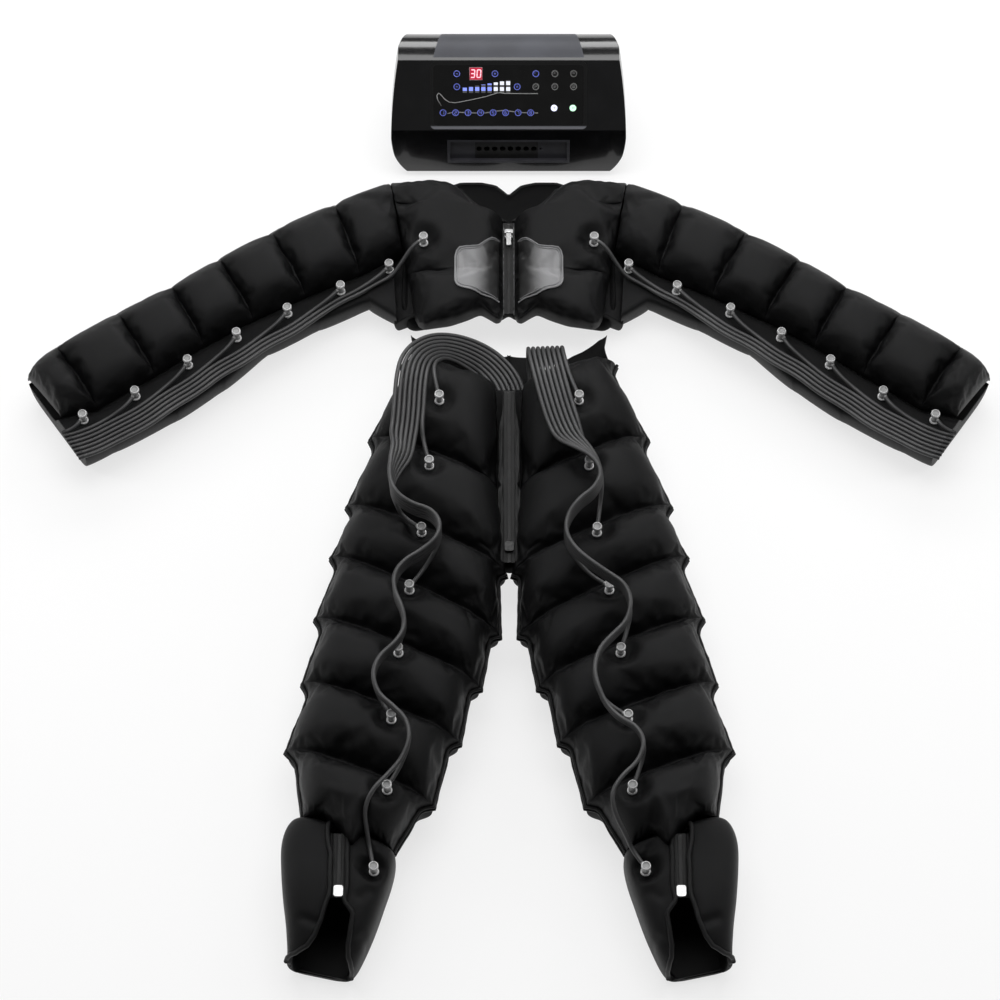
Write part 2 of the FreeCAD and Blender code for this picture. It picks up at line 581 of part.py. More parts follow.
def make_bezel():
    frame = rounded_plate(BEZEL_WIDTH, BEZEL_HEIGHT, BEZEL_CORNER, -BEZEL_DEPTH, BEZEL_PROUD)
    frame = frame.cut(rounded_plate(GLASS_WIDTH, GLASS_HEIGHT, GLASS_CORNER, GLASS_UNDER, OVERRUN))
    frame = frame.cut(block(GLASS_WIDTH - BEZEL_LEDGE * 2, GLASS_HEIGHT - BEZEL_LEDGE * 2, OVERRUN,
                            Vector(0, 0, -OVERRUN / 2)))
    for spot in board_posts():
        frame = frame.fuse(rod(BOARD_POST_RADIUS, -BOARD_DROP, -BEZEL_DEPTH, spot))
    return frame.removeSplitter()


def make_key_board(places):
    board = block(BEZEL_WIDTH, BEZEL_HEIGHT, BOARD_THICKNESS, Vector(0, 0, -BOARD_DROP - BOARD_THICKNESS))
    for spot in places.values():
        board = board.fuse(block(SWITCH_SIZE, SWITCH_SIZE, SWITCH_HEIGHT, spot - Vector(0, 0, BOARD_DROP)))
    return board.removeSplitter()


# Air side of the console

def outlet_spots():
    first = OUTLET_OFFSET - OUTLET_PITCH * (OUTLET_COUNT - 1) / 2
    return [Vector(first + OUTLET_PITCH * number, 0, 0) for number in range(OUTLET_COUNT)]


SOCKET_FACE = -SLOT_RECESS
SOCKET_FOOT = SOCKET_FACE - SOCKET_LENGTH
MANIFOLD_FOOT = SOCKET_FOOT - MANIFOLD_BACK
HOUSING_NOSE = MANIFOLD_FOOT - NIPPLE_LENGTH * 2 - TUBE_FREE
INSIDE_FRONT = WALL_PLACE.multVec(Vector(0, SLOT_HEIGHT / 2, MANIFOLD_FOOT)).y
INSIDE_REAR = COLUMN_REAR - COLUMN_RADIUS
INSIDE_MIDDLE = (INSIDE_FRONT + INSIDE_REAR) / 2
INSIDE_DEPTH = (INSIDE_REAR - INSIDE_FRONT) * INSIDE_DEPTH_SHARE
INSIDE_OFFSET = CONSOLE_WIDTH * INSIDE_OFFSET_SHARE
PUMP_WIDTH = CONSOLE_WIDTH * PUMP_WIDTH_SHARE
MAIN_BOARD_WIDTH = CONSOLE_WIDTH * MAIN_BOARD_WIDTH_SHARE


def make_sockets():
    sockets = []
    tall = SLOT_HEIGHT - SLOT_RIM * 2
    for spot in outlet_spots():
        body = block(OUTLET_PITCH, tall, SOCKET_LENGTH, spot + Vector(0, 0, SOCKET_FOOT))
        sockets.append(body.cut(rod(OUTLET_BORE / 2, SOCKET_FOOT - OVERRUN, OVERRUN, spot)))
    return sockets


def make_manifold():
    tall = SLOT_HEIGHT - SLOT_RIM * 2
    row = OUTLET_PITCH * OUTLET_COUNT
    body = block(SLOT_WIDTH, SLOT_HEIGHT, -MANIFOLD_FOOT, Vector(0, 0, MANIFOLD_FOOT))
    body = body.cut(block(SLOT_WIDTH - SLOT_RIM * 2, tall, OVERRUN, Vector(0, 0, SOCKET_FACE)))
    body = body.cut(block(row, tall, OVERRUN, Vector(OUTLET_OFFSET, 0, SOCKET_FOOT)))
    for spot in outlet_spots():
        body = body.fuse(rod(NIPPLE_RADIUS, MANIFOLD_FOOT - NIPPLE_LENGTH, MANIFOLD_FOOT, spot))
        body = body.cut(rod(CHANNEL_RADIUS, MANIFOLD_FOOT - OVERRUN, SOCKET_FOOT, spot))
    sense = Vector(OUTLET_OFFSET + OUTLET_PITCH * (OUTLET_COUNT - 1) / 2 + SENSE_STEP, 0, 0)
    return body.cut(rod(SENSE_RADIUS, SOCKET_FOOT, OVERRUN, sense)).removeSplitter()


def make_tubes():
    tubes = []
    bore = NIPPLE_RADIUS + TUBE_CLEARANCE
    low = HOUSING_NOSE + TUBE_END_GAP
    high = MANIFOLD_FOOT - TUBE_END_GAP
    for spot in outlet_spots():
        tubes.append(rod(bore + TUBE_WALL, low, high, spot).cut(rod(bore, low - OVERRUN, OVERRUN, spot)))
    return tubes


def housing_middle():
    nose = WALL_PLACE.multVec(Vector(OUTLET_OFFSET, 0, HOUSING_NOSE))
    return Vector(OUTLET_OFFSET, nose.y + HOUSING_DEPTH / 2, FLOOR_Z)


def make_distributor():
    """Valve housing with its nipples, and the drive motor on top."""
    middle = housing_middle()
    top = middle + Vector(0, 0, HOUSING_HEIGHT)
    housing = block(HOUSING_WIDTH, HOUSING_DEPTH, HOUSING_HEIGHT, middle)
    for spot in outlet_spots():
        nipple = rod(NIPPLE_RADIUS, HOUSING_NOSE - NIPPLE_LENGTH, HOUSING_NOSE + NIPPLE_LENGTH, spot)
        bore = rod(CHANNEL_RADIUS, HOUSING_NOSE - NIPPLE_LENGTH, HOUSING_NOSE + OVERRUN, spot)
        housing = housing.fuse(placed(nipple, WALL_PLACE)).cut(placed(bore, WALL_PLACE))
    pocket = DISC_THICKNESS + RUNNING_GAP * 2
    housing = housing.cut(rod(DISC_RADIUS + RUNNING_GAP, -pocket, OVERRUN, top))
    motor = block(MOTOR_PLATE, MOTOR_PLATE, MOTOR_PLATE_THICKNESS, top)
    motor = motor.fuse(rod(MOTOR_RADIUS, 0, MOTOR_PLATE_THICKNESS + MOTOR_HEIGHT, top))
    motor = motor.cut(rod(DISC_SHAFT_RADIUS + RUNNING_GAP, -OVERRUN, DISC_SHAFT_LENGTH + RUNNING_GAP, top))
    return housing.removeSplitter(), motor.removeSplitter()


def make_disc():
    top = housing_middle() + Vector(0, 0, HOUSING_HEIGHT - RUNNING_GAP)
    disc = rod(DISC_RADIUS, -DISC_THICKNESS, 0, top)
    disc = disc.fuse(rod(DISC_SHAFT_RADIUS, -DISC_THICKNESS, DISC_SHAFT_LENGTH, top))
    port = top + Vector(DISC_RADIUS - DISC_PORT_RADIUS * 2, 0, 0)
    return disc.cut(rod(DISC_PORT_RADIUS, -DISC_THICKNESS - OVERRUN, OVERRUN, port)).removeSplitter()


def pump_mount_spots():
    x = PUMP_WIDTH / 2 - PUMP_MOUNT_INSET
    y = INSIDE_DEPTH / 2 - PUMP_MOUNT_INSET
    return [Vector(dx - INSIDE_OFFSET, INSIDE_MIDDLE + dy, FLOOR_Z) for dx in (-x, x) for dy in (-y, y)]


def make_pump():
    foot = Vector(-INSIDE_OFFSET, INSIDE_MIDDLE, FLOOR_Z + PUMP_MOUNT_HEIGHT)
    pump = block(PUMP_WIDTH, INSIDE_DEPTH, PUMP_HEIGHT, foot)
    for side in (-1, 1):
        middle = foot + Vector(side * PUMP_WIDTH / 4, 0, PUMP_HEIGHT)
        pump = pump.fuse(rod(PUMP_DOME_RADIUS, 0, PUMP_DOME_HEIGHT, middle))
    return pump.removeSplitter()


def make_main_board():
    foot = Vector(INSIDE_OFFSET, INSIDE_MIDDLE, FLOOR_Z + MAIN_BOARD_POST)
    top = foot + Vector(0, 0, BOARD_THICKNESS)
    board = block(MAIN_BOARD_WIDTH, INSIDE_DEPTH, BOARD_THICKNESS, foot)
    board = board.fuse(block(CHIP_SIZE, CHIP_SIZE, CHIP_HEIGHT, top - Vector(CHIP_SIZE, 0, 0)))
    return board.fuse(rod(COIL_RADIUS, 0, COIL_HEIGHT, top + Vector(COIL_RADIUS * 2, 0, 0))).removeSplitter()


# Soft chambers: lofts between two seams

def frame_between(first, second, share, draw):
    """Tips between two seams, drawn in along the line from one tip to the other."""
    outer = lerp(first[0], second[0], share)
    inner = lerp(first[1], second[1], share)
    inward = (inner - outer).normalize() * draw
    return outer + inward, inner - inward


def swell_at(share):
    """How far a chamber has swollen at a share of the way from seam to seam."""
    return 1 - abs(2 * share - 1) ** SWELL_POWER


def surface_level(along, across, level, seam_rise, crown_rise):
    """Height of a front chamber's upper side near the middle of its width."""
    shoulder, crown = ARCH_SHARES[2], ARCH_SHARES[3]
    fall = ((across - crown[0]) / (shoulder[0] - crown[0])) ** 2 * (crown[1] - shoulder[1])
    return level + lerp(seam_rise, crown_rise, swell_at(along)) * (crown[1] - fall)


def section_points(frame, level, rise, shares):
    return [lerp(frame[0], frame[1], across) + Vector(0, 0, level + rise * up) for across, up in shares]


def arch(frame, level, rise):
    """Front section: a flat under side and three arcs over it."""
    p = section_points(frame, level, rise, ARCH_SHARES)
    return outline(p[0], (p[1], p[2]), (p[3], p[4]), (p[5], p[6]), p[0])


def tub(frame, level, rise):
    """Back section: a flat top, round sides and a flat foot under it."""
    p = section_points(frame, level, -rise, TUB_SHARES)
    return outline(p[0], (p[1], p[2]), p[3], (p[4], p[5]), p[0])


def chamber(first, second, section, level, seam_rise, crown_rise, draw, stations):
    wires = []
    for share in stations:
        swell = swell_at(share)
        frame = frame_between(first, second, share, draw * swell)
        wires.append(section(frame, level, lerp(seam_rise, crown_rise, swell)))
    return Part.makeLoft(wires, True, section is tub)


def front_chamber(first, second, level, seam_rise, crown_rise, draw):
    return chamber(first, second, arch, level, seam_rise, crown_rise, draw, FRONT_STATION_SHARES)


def back_chamber(first, second, level, draw):
    return chamber(first, second, tub, level, level * BACK_SEAM_SHARE, level, draw, BACK_STATION_SHARES)


def strip(first, second, end, low, high):
    """Seam strip along one edge of a chamber, from its tips inwards."""
    corners = []
    for frame in (first, second):
        inward = (frame[1 - end] - frame[end]).normalize() * STRIP_WIDTH
        corners.append((frame[end], frame[end] + inward))
    return plate([corners[0][0], corners[1][0], corners[1][1], corners[0][1]], low, high)


# Hose fittings

def fitting(seat, toward):
    """Mushroom fitting on its seat, with a side barb that points toward a place."""
    neck = FLANGE_THICKNESS + NECK_HEIGHT
    body = rod(FLANGE_RADIUS, 0, FLANGE_THICKNESS, seat)
    body = body.fuse(rod(NECK_RADIUS, 0, neck, seat))
    body = body.fuse(rod(CAP_RADIUS, neck, neck + CAP_HEIGHT, seat))
    tip = barb_tip(seat, toward)
    root = Vector(seat.x, seat.y, tip.z)
    return body.fuse(Part.makeCylinder(BARB_RADIUS, BARB_REACH, root, tip - root)).removeSplitter()


def barb_tip(seat, toward):
    heading = Vector(toward.x - seat.x, toward.y - seat.y, 0).normalize()
    return seat + heading * BARB_REACH + Vector(0, 0, FLANGE_THICKNESS + NECK_HEIGHT - BARB_DROP)


def seated(shape, seat):
    """Cut the flat seat of a fitting into a chamber."""
    return shape.cut(rod(FLANGE_RADIUS + SEAT_MARGIN, 0, OVERRUN * 2, seat))


# Trousers, left half

LEG_TOP = LEG_BACK + LEG_GAP


def leg_point(x_share, y_share):
    return Vector(-x_share * LEG_SPREAD, TOE_Y + y_share * TROUSER_LENGTH, 0)


def leg_frames(waist_half):
    """Seam tips from waist to ankle; at the waist the inner tips stand off the middle."""
    frames = []
    for number, (outer, inner) in enumerate(zip(OUTER_TIP_SHARES, INNER_TIP_SHARES)):
        inner_tip = leg_point(*inner)
        if number < WAIST_FRAME_COUNT:
            inner_tip.x = -waist_half
        frames.append((leg_point(*outer), inner_tip))
    return frames


def leg_seat(frames, number):
    along, across = LEG_FITTING_SHARES[number]
    frame = frame_between(frames[number], frames[number + 1], along, 0)
    level = surface_level(along, across, LEG_TOP, LEG_SEAM_RISE, LEG_CROWN_RISE)
    return lerp(frame[0], frame[1], across) + Vector(0, 0, level - SEAT_SINK)


def make_leg():
    """Chambers and seam strips of one leg, with the seats of its fittings."""
    frames = leg_frames(FLY_HALF)
    back = leg_frames(CENTRE_GAP)
    back[0] = tuple(leg_point(*tip) for tip in BACK_WAIST_SHARES)
    back[0][1].x = -CENTRE_GAP
    solids = []
    for number in range(len(frames) - 1):
        first, second = frames[number], frames[number + 1]
        top = front_chamber(first, second, LEG_TOP, LEG_SEAM_RISE, LEG_CROWN_RISE, LEG_DRAW)
        solids.append(seated(top, leg_seat(frames, number)))
        solids.append(back_chamber(back[number], back[number + 1], LEG_BACK, LEG_DRAW))
        solids.append(strip(first, second, 0, LEG_BACK, LEG_TOP))
        if number >= WAIST_FRAME_COUNT:
            solids.append(strip(first, second, 1, LEG_BACK, LEG_TOP))
    return solids


# Boots, left side

def boot_frames():
    pairs = zip(BOOT_OUTER_SHARES, BOOT_INNER_SHARES)
    return [(leg_point(*outer), leg_point(*inner)) for outer, inner in pairs]


def boot_section(frame, low, high):
    p = section_points(frame, low, high - low, BOOT_SHARES)
    return outline(p[0], p[1], (p[2], p[3]), (p[4], p[5]), (p[6], p[0]))


def boot_form(inset, sole):
    """Boot's outer form, or its hollow when drawn in by inset; the hollow runs past both ends."""
    wires = []
    for frame, height in zip(boot_frames(), BOOT_HEIGHTS):
        drawn = frame_between(frame, frame, 0, inset)
        wires.append(boot_section(drawn, sole, height - inset))
    return Part.makeLoft(wires, True, False)


def boot_zip_line():
    ends = [leg_point(*share) for share in BOOT_ZIP_SHARES]
    return ends[0] + Vector(0, 0, BOOT_ZIP_HIGH), ends[1] + Vector(0, 0, BOOT_ZIP_LOW)


def boot_zip_place():
    """Frame on the zip's lower end: local x across, y up the zip, z out of it."""
    high, low = boot_zip_line()
    slope = math.degrees(math.atan2(high.z - low.z, high.y - low.y))
    return Placement(low, Rotation(Vector(1, 0, 0), slope)), (high - low).Length


def boot_seat():
    frame = boot_frames()[1]
    return lerp(frame[0], frame[1], BOOT_FITTING_SHARE) + Vector(0, 0, BOOT_HEIGHTS[1] - BOOT_SEAT_DEPTH)


def make_boot():
    place, length = boot_zip_place()
    slot = placed(Part.makeBox(BOOT_ZIP_WIDTH, length + OVERRUN, OVERRUN * 2,
                               Vector(-BOOT_ZIP_WIDTH / 2, -OVERRUN / 2, -OVERRUN)), place)
    slit = plate([leg_point(*share) for share in SLIT_SHARES], SOLE_THICKNESS, BOOT_HEIGHTS[0] + OVERRUN)
    boot = boot_form(0, 0).cut(boot_form(BOOT_WALL, SOLE_THICKNESS)).cut(slot).cut(slit)
    return [seated(boot, boot_seat())]


def make_boot_zip():
    place, length = boot_zip_place()
    tape = Part.makeBox(BOOT_ZIP_WIDTH, length, BOOT_ZIP_THICKNESS,
                        Vector(-BOOT_ZIP_WIDTH / 2, 0, -BOOT_ZIP_THICKNESS))
    coil = Part.makeBox(ZIP_COIL_HALF * 2, length, ZIP_COIL_HEIGHT / 2, Vector(-ZIP_COIL_HALF, 0, 0))
    return placed(tape.fuse(coil).removeSplitter(), place)


def slider_body(coil_top):
    """Zip slider whose middle stands over the origin, on a coil of the given height."""
    foot = coil_top + RUNNING_GAP
    body = block(SLIDER_WIDTH, SLIDER_LENGTH, SLIDER_HEIGHT, Vector(0, 0, foot))
    edges = [e for e in body.Edges if abs(e.Vertexes[0].Z - e.Vertexes[1].Z) > SLIDER_HEIGHT / 2]
    return body.makeFillet(SLIDER_WIDTH / 4, edges)


def make_boot_slider():
    place = boot_zip_place()[0]
    return placed(slider_body(ZIP_COIL_HEIGHT / 2), place.multiply(Placement(Vector(0, SLIDER_LENGTH / 2, 0),
                                                                             Rotation())))


# Jacket, left half

JACKET_TOP = JACKET_BACK + JACKET_GAP


def jacket_point(x_share, y_share):
    return Vector(-x_share * JACKET_REACH, HEM_Y + y_share * JACKET_DEPTH, 0)


def sleeve_frames():
    pairs = zip(SLEEVE_TOP_SHARES, SLEEVE_LOW_SHARES)
    return [(jacket_point(*top), jacket_point(*low)) for top, low in pairs]


def make_sleeve():
    """Front and back chambers, top seam strips and the flat bed that the hoses lie on."""
    frames = sleeve_frames()
    edges = [jacket_point(*share) for share in SLEEVE_EDGE_SHARES]
    solids = []
    for number in range(len(frames) - 1):
        first, second = frames[number], frames[number + 1]
        wide = [(frames[n][0], edges[n]) for n in (number, number + 1)]
        solids.append(front_chamber(first, second, JACKET_TOP, SLEEVE_SEAM_RISE, SLEEVE_CROWN_RISE,
                                    SLEEVE_DRAW))
        solids.append(back_chamber(wide[0], wide[1], JACKET_BACK, SLEEVE_DRAW))
        solids.append(strip(first, second, 0, JACKET_BACK, JACKET_TOP))
        solids.append(plate([first[1], second[1], edges[number + 1], edges[number]], JACKET_BACK, JACKET_TOP))
    return solids


def bed_seat(number):
    """Seat of a sleeve fitting on the hose bed, just past the lower end of its chamber."""
    frames = sleeve_frames()
    first, second = frames[number][1], frames[number + 1][1]
    along = (second - first).normalize()
    outward = Vector(-along.y, along.x, 0) * BED_FITTING_STEP
    return lerp(first, second, BED_FITTING_SHARE) + outward + Vector(0, 0, JACKET_TOP)


def chest_frames():
    shoulder = sleeve_frames()[0]
    frames = []
    for share, inner in zip(CHEST_OUTER_SHARES, CHEST_INNER_SHARES):
        outer = lerp(shoulder[0], shoulder[1], share) + Vector(CHEST_CLEARANCE, 0, 0)
        inner_tip = jacket_point(*inner)
        inner_tip.x = min(inner_tip.x, -ZIP_HALF)
        frames.append((outer, inner_tip))
    return frames


def chest_seat():
    frames = chest_frames()
    along, across = CHEST_FITTING_SHARES
    frame = frame_between(frames[1], frames[2], along, 0)
    level = surface_level(along, across, JACKET_TOP, CHEST_SEAM_RISE, CHEST_CROWN_RISE)
    return lerp(frame[0], frame[1], across) + Vector(0, 0, level - SEAT_SINK)


def make_chest():
    frames = chest_frames()
    solids = [front_chamber(a, b, JACKET_TOP, CHEST_SEAM_RISE, CHEST_CROWN_RISE, SLEEVE_DRAW)
              for a, b in zip(frames, frames[1:])]
    solids[1] = seated(solids[1], chest_seat())
    return solids


def make_jacket_back():
    hem = [jacket_point(*share) for share in HEM_SHARES]
    shoulder = [jacket_point(*share) for share in SHOULDER_SHARES]
    collar = [jacket_point(*share) for share in COLLAR_SHARES]
    side = [jacket_point(*share) for share in SIDE_STRIP_SHARES]
    for tip in (hem[1], shoulder[1], collar[-1]):
        tip.x = -CENTRE_GAP
    neck = jacket_point(CHEST_INNER_SHARES[0][0], SHOULDER_SHARES[0][1])
    yoke = [shoulder[0] + Vector(STRIP_WIDTH, 0, 0), neck]
    drop = Vector(0, STRIP_WIDTH, 0)
    return [back_chamber(hem, shoulder, JACKET_BACK, SLEEVE_DRAW),
            plate(collar, COLLAR_LOW, JACKET_BACK * BACK_SEAM_SHARE),
            plate(side, JACKET_BACK, JACKET_TOP),
            plate([yoke[0] - drop, yoke[1] - drop, yoke[1], yoke[0]], JACKET_BACK, JACKET_TOP)]


# Zips on the middle line

def middle_zip(low_y, high_y, level):
    """Tape under the two front edges with its coil standing up between them."""
    long = high_y - low_y
    tape = block(ZIP_TAPE_HALF * 2, long, ZIP_TAPE_THICKNESS,
                 Vector(0, low_y + long / 2, level - ZIP_TAPE_THICKNESS))
    coil = block(ZIP_COIL_HALF * 2, long, ZIP_COIL_HEIGHT, Vector(0, low_y + long / 2, level))
    return tape.fuse(coil).removeSplitter()


def jacket_zip_ends():
    frames = chest_frames()
    return frames[-1][1].y + ZIP_END_MARGIN, frames[1][1].y


def fly_ends():
    frames = leg_frames(FLY_HALF)
    return frames[WAIST_FRAME_COUNT][1].y + ZIP_END_MARGIN * 2, frames[0][1].y - ZIP_END_MARGIN


def slider_y(ends, share):
    return lerp(ends[0] + SLIDER_LENGTH / 2, ends[1] - SLIDER_LENGTH / 2, share)


def pull_pin():
    """Middle of the pin that the jacket pull swings on."""
    top = JACKET_TOP + ZIP_COIL_HEIGHT + RUNNING_GAP + SLIDER_HEIGHT
    return Vector(0, slider_y(jacket_zip_ends(), JACKET_SLIDER_SHARE), top + PULL_EYE - RUNNING_GAP)


def make_jacket_slider():
    pin = pull_pin()
    body = slider_body(JACKET_TOP + ZIP_COIL_HEIGHT)
    body.translate(Vector(0, pin.y, 0))
    half = PULL_WIDTH / 2 + RUNNING_GAP
    ear = SLIDER_WIDTH / 2 - half
    for side in (-1, 1):
        x = half if side > 0 else -half - ear
        foot = pin - Vector(-x, PULL_EYE, PULL_EYE - RUNNING_GAP)
        body = body.fuse(Part.makeBox(ear, PULL_EYE * 2, PULL_EYE * 2 - RUNNING_GAP, foot))
    pin_foot = pin - Vector(SLIDER_WIDTH / 2, 0, 0)
    bar = Part.makeCylinder(PULL_PIN_RADIUS, SLIDER_WIDTH, pin_foot, Vector(1, 0, 0))
    return body.fuse(bar).removeSplitter()


def make_jacket_pull():
    pin = pull_pin()
    eye_foot = pin - Vector(PULL_WIDTH / 2, 0, 0)
    eye = Part.makeCylinder(PULL_EYE - RUNNING_GAP * 2, PULL_WIDTH, eye_foot, Vector(1, 0, 0))
    tab = Part.makeBox(PULL_WIDTH, PULL_LENGTH, PULL_THICKNESS,
                       pin - Vector(PULL_WIDTH / 2, PULL_LENGTH, PULL_THICKNESS / 2))
    hole = Part.makeCylinder(PULL_PIN_RADIUS + RUNNING_GAP, PULL_WIDTH + OVERRUN,
                             pin - Vector(PULL_WIDTH / 2 + OVERRUN / 2, 0, 0), Vector(1, 0, 0))
    return eye.fuse(tab).cut(hole).removeSplitter()


def make_fly_slider():
    body = slider_body(LEG_TOP + ZIP_COIL_HEIGHT)
    body.translate(Vector(0, slider_y(fly_ends(), FLY_SLIDER_SHARE), 0))
    return body


# Hoses: straight runs joined by tangent arcs

def hose(points):
    """Round tube along the points, with its tightest radius."""
    edges = []
    radii = []
    here = points[0]
    for before, corner, after in zip(points, points[1:], points[2:]):
        back = before - corner
        ahead = after - corner
        turn = math.pi - back.getAngle(ahead)
        reach = ARC_SHARE * min(back.Length, ahead.Length)
        radius = reach / math.tan(turn / 2)
        start = corner + back.normalize() * reach
        end = corner + ahead.normalize() * reach
        bow = (start + end) * 0.5 - corner
        bend = bow.Length - (radius / math.cos(turn / 2) - radius)
        edges.append(Part.LineSegment(here, start).toShape())
        edges.append(Part.Arc(start, lerp(corner, (start + end) * 0.5, 1 - bend / bow.Length), end).toShape())
        radii.append(radius)
        here = end
    edges.append(Part.LineSegment(here, points[-1]).toShape())
    path = Part.Wire(edges)
    ring = Part.Wire(Part.Circle(points[0], points[1] - points[0], HOSE_RADIUS).toShape())
    tube = path.makePipeShell([ring], True, False)
    share = tube.Volume / (math.pi * HOSE_RADIUS ** 2 * path.Length)
    return tube, min(radii), path.Length, share


def laid_route(shares, origin):
    """A route in millimetres, with its origin at a place along Y."""
    return [(x * ROUTE_UNIT, origin + y * ROUTE_UNIT, z * ROUTE_UNIT, twist, first)
            for x, y, z, twist, first in shares]


def travel(route, number):
    """Direction of a bundle at a point of its route, in plan."""
    before = route[max(number - 1, 0)]
    after = route[min(number + 1, len(route) - 1)]
    return Vector(after[0] - before[0], after[1] - before[1], 0).normalize()


def lane_point(route, number, lane):
    """Place of one lane of a flat bundle at a point of its route."""
    x, y, z, twist, first = route[number]
    ahead = travel(route, number)
    side = Vector(ahead.y, -ahead.x, 0) * math.cos(math.radians(twist))
    spread = side + Vector(0, 0, math.sin(math.radians(twist)))
    return Vector(x, y, z) + spread * HOSE_PITCH * (lane - first)


def bundle(name, route, counts, seats, approach, curl, stagger):
    """Hoses of one bundle, the fittings that they end on, and the place and direction of each first end."""
    tubes, fittings, starts = [], [], []
    for lane, (count, seat) in enumerate(zip(counts, seats)):
        points = [lane_point(route, number, lane) for number in range(count)]
        points[0] = points[0] + travel(route, 0) * stagger * lane
        ahead = travel(route, count - 1)
        chord = Vector(seat.x - points[-1].x, seat.y - points[-1].y, 0).normalize()
        heading = lerp(-chord, ahead - chord * (2 * chord.dot(ahead)), curl).normalize()
        tip = barb_tip(seat, seat + heading)
        points += [tip + heading * approach, tip]
        tube, radius, length, share = hose(points)
        tubes.append(tube)
        fittings.append(fitting(seat, tip))
        starts.append((points[0], (points[1] - points[0]).normalize()))
        made = "least radius %.1f length %.0f volume share %.4f" % (radius, length, share)
        print(name, "hose", lane + 1, made)
    return tubes, fittings, starts


def plug(route, lanes):
    """Flat plug that takes the first ends of a bundle's hoses."""
    middle = lane_point(route, 0, (lanes - 1) / 2)
    wide = HOSE_PITCH * lanes + PLUG_MARGIN
    body = Part.makeBox(wide, PLUG_LENGTH, PLUG_THICKNESS,
                        Vector(-wide / 2, -PLUG_LENGTH, -PLUG_THICKNESS / 2))
    edges = [e for e in body.Edges if abs(e.Vertexes[0].Z - e.Vertexes[1].Z) > PLUG_THICKNESS / 2]
    body = body.makeFillet(PLUG_MARGIN, edges)
    return placed(body, Placement(middle, Rotation(Vector(0, 1, 0), travel(route, 0))))


def ferrule(start, ahead):
    """End sleeve behind the first end of one hose."""
    return Part.makeCylinder(FERRULE_RADIUS, FERRULE_LENGTH, start - ahead * FERRULE_LENGTH, ahead)


# The whole set

def make_console(nodes):
    here = Placement(Vector(0, CONSOLE_Y, 0), Rotation())
    band, pocket = make_band()
    base, cover = make_case(pocket)
    housing, motor = make_distributor()
    places = key_places()
    display = make_display()
    bars = make_bars()
    on_panel = {"panel_bezel": [make_bezel()], "control_panel": [make_glass(places, [display] + bars)],
                "display_lens": [display], "level_bars": bars, "key_board": [make_key_board(places)]}
    on_panel.update({name: [make_key(spot)] for name, spot in places.items()})
    on_wall = {"outlet_manifold": [make_manifold()], "outlet_sockets": make_sockets(),
               "inner_tubes": make_tubes()}
    upright = {"console_base": [base], "console_cover": [cover], "top_band": [band],
               "case_screws": make_screws(), "rubber_feet": make_feet(), "power_inlet": [make_inlet()],
               "air_distributor": [housing], "distributor_motor": [motor],
               "distributor_disc": [make_disc()], "air_pump": [make_pump()],
               "main_board": [make_main_board()],
               "pump_mounts": [rod(PUMP_MOUNT_RADIUS, 0, PUMP_MOUNT_HEIGHT, s) for s in pump_mount_spots()]}
    for group, place in ((on_panel, PANEL_PLACE), (on_wall, WALL_PLACE), (upright, Placement())):
        for name, solids in group.items():
            nodes[name] = [placed(solid, here.multiply(place)) for solid in solids]


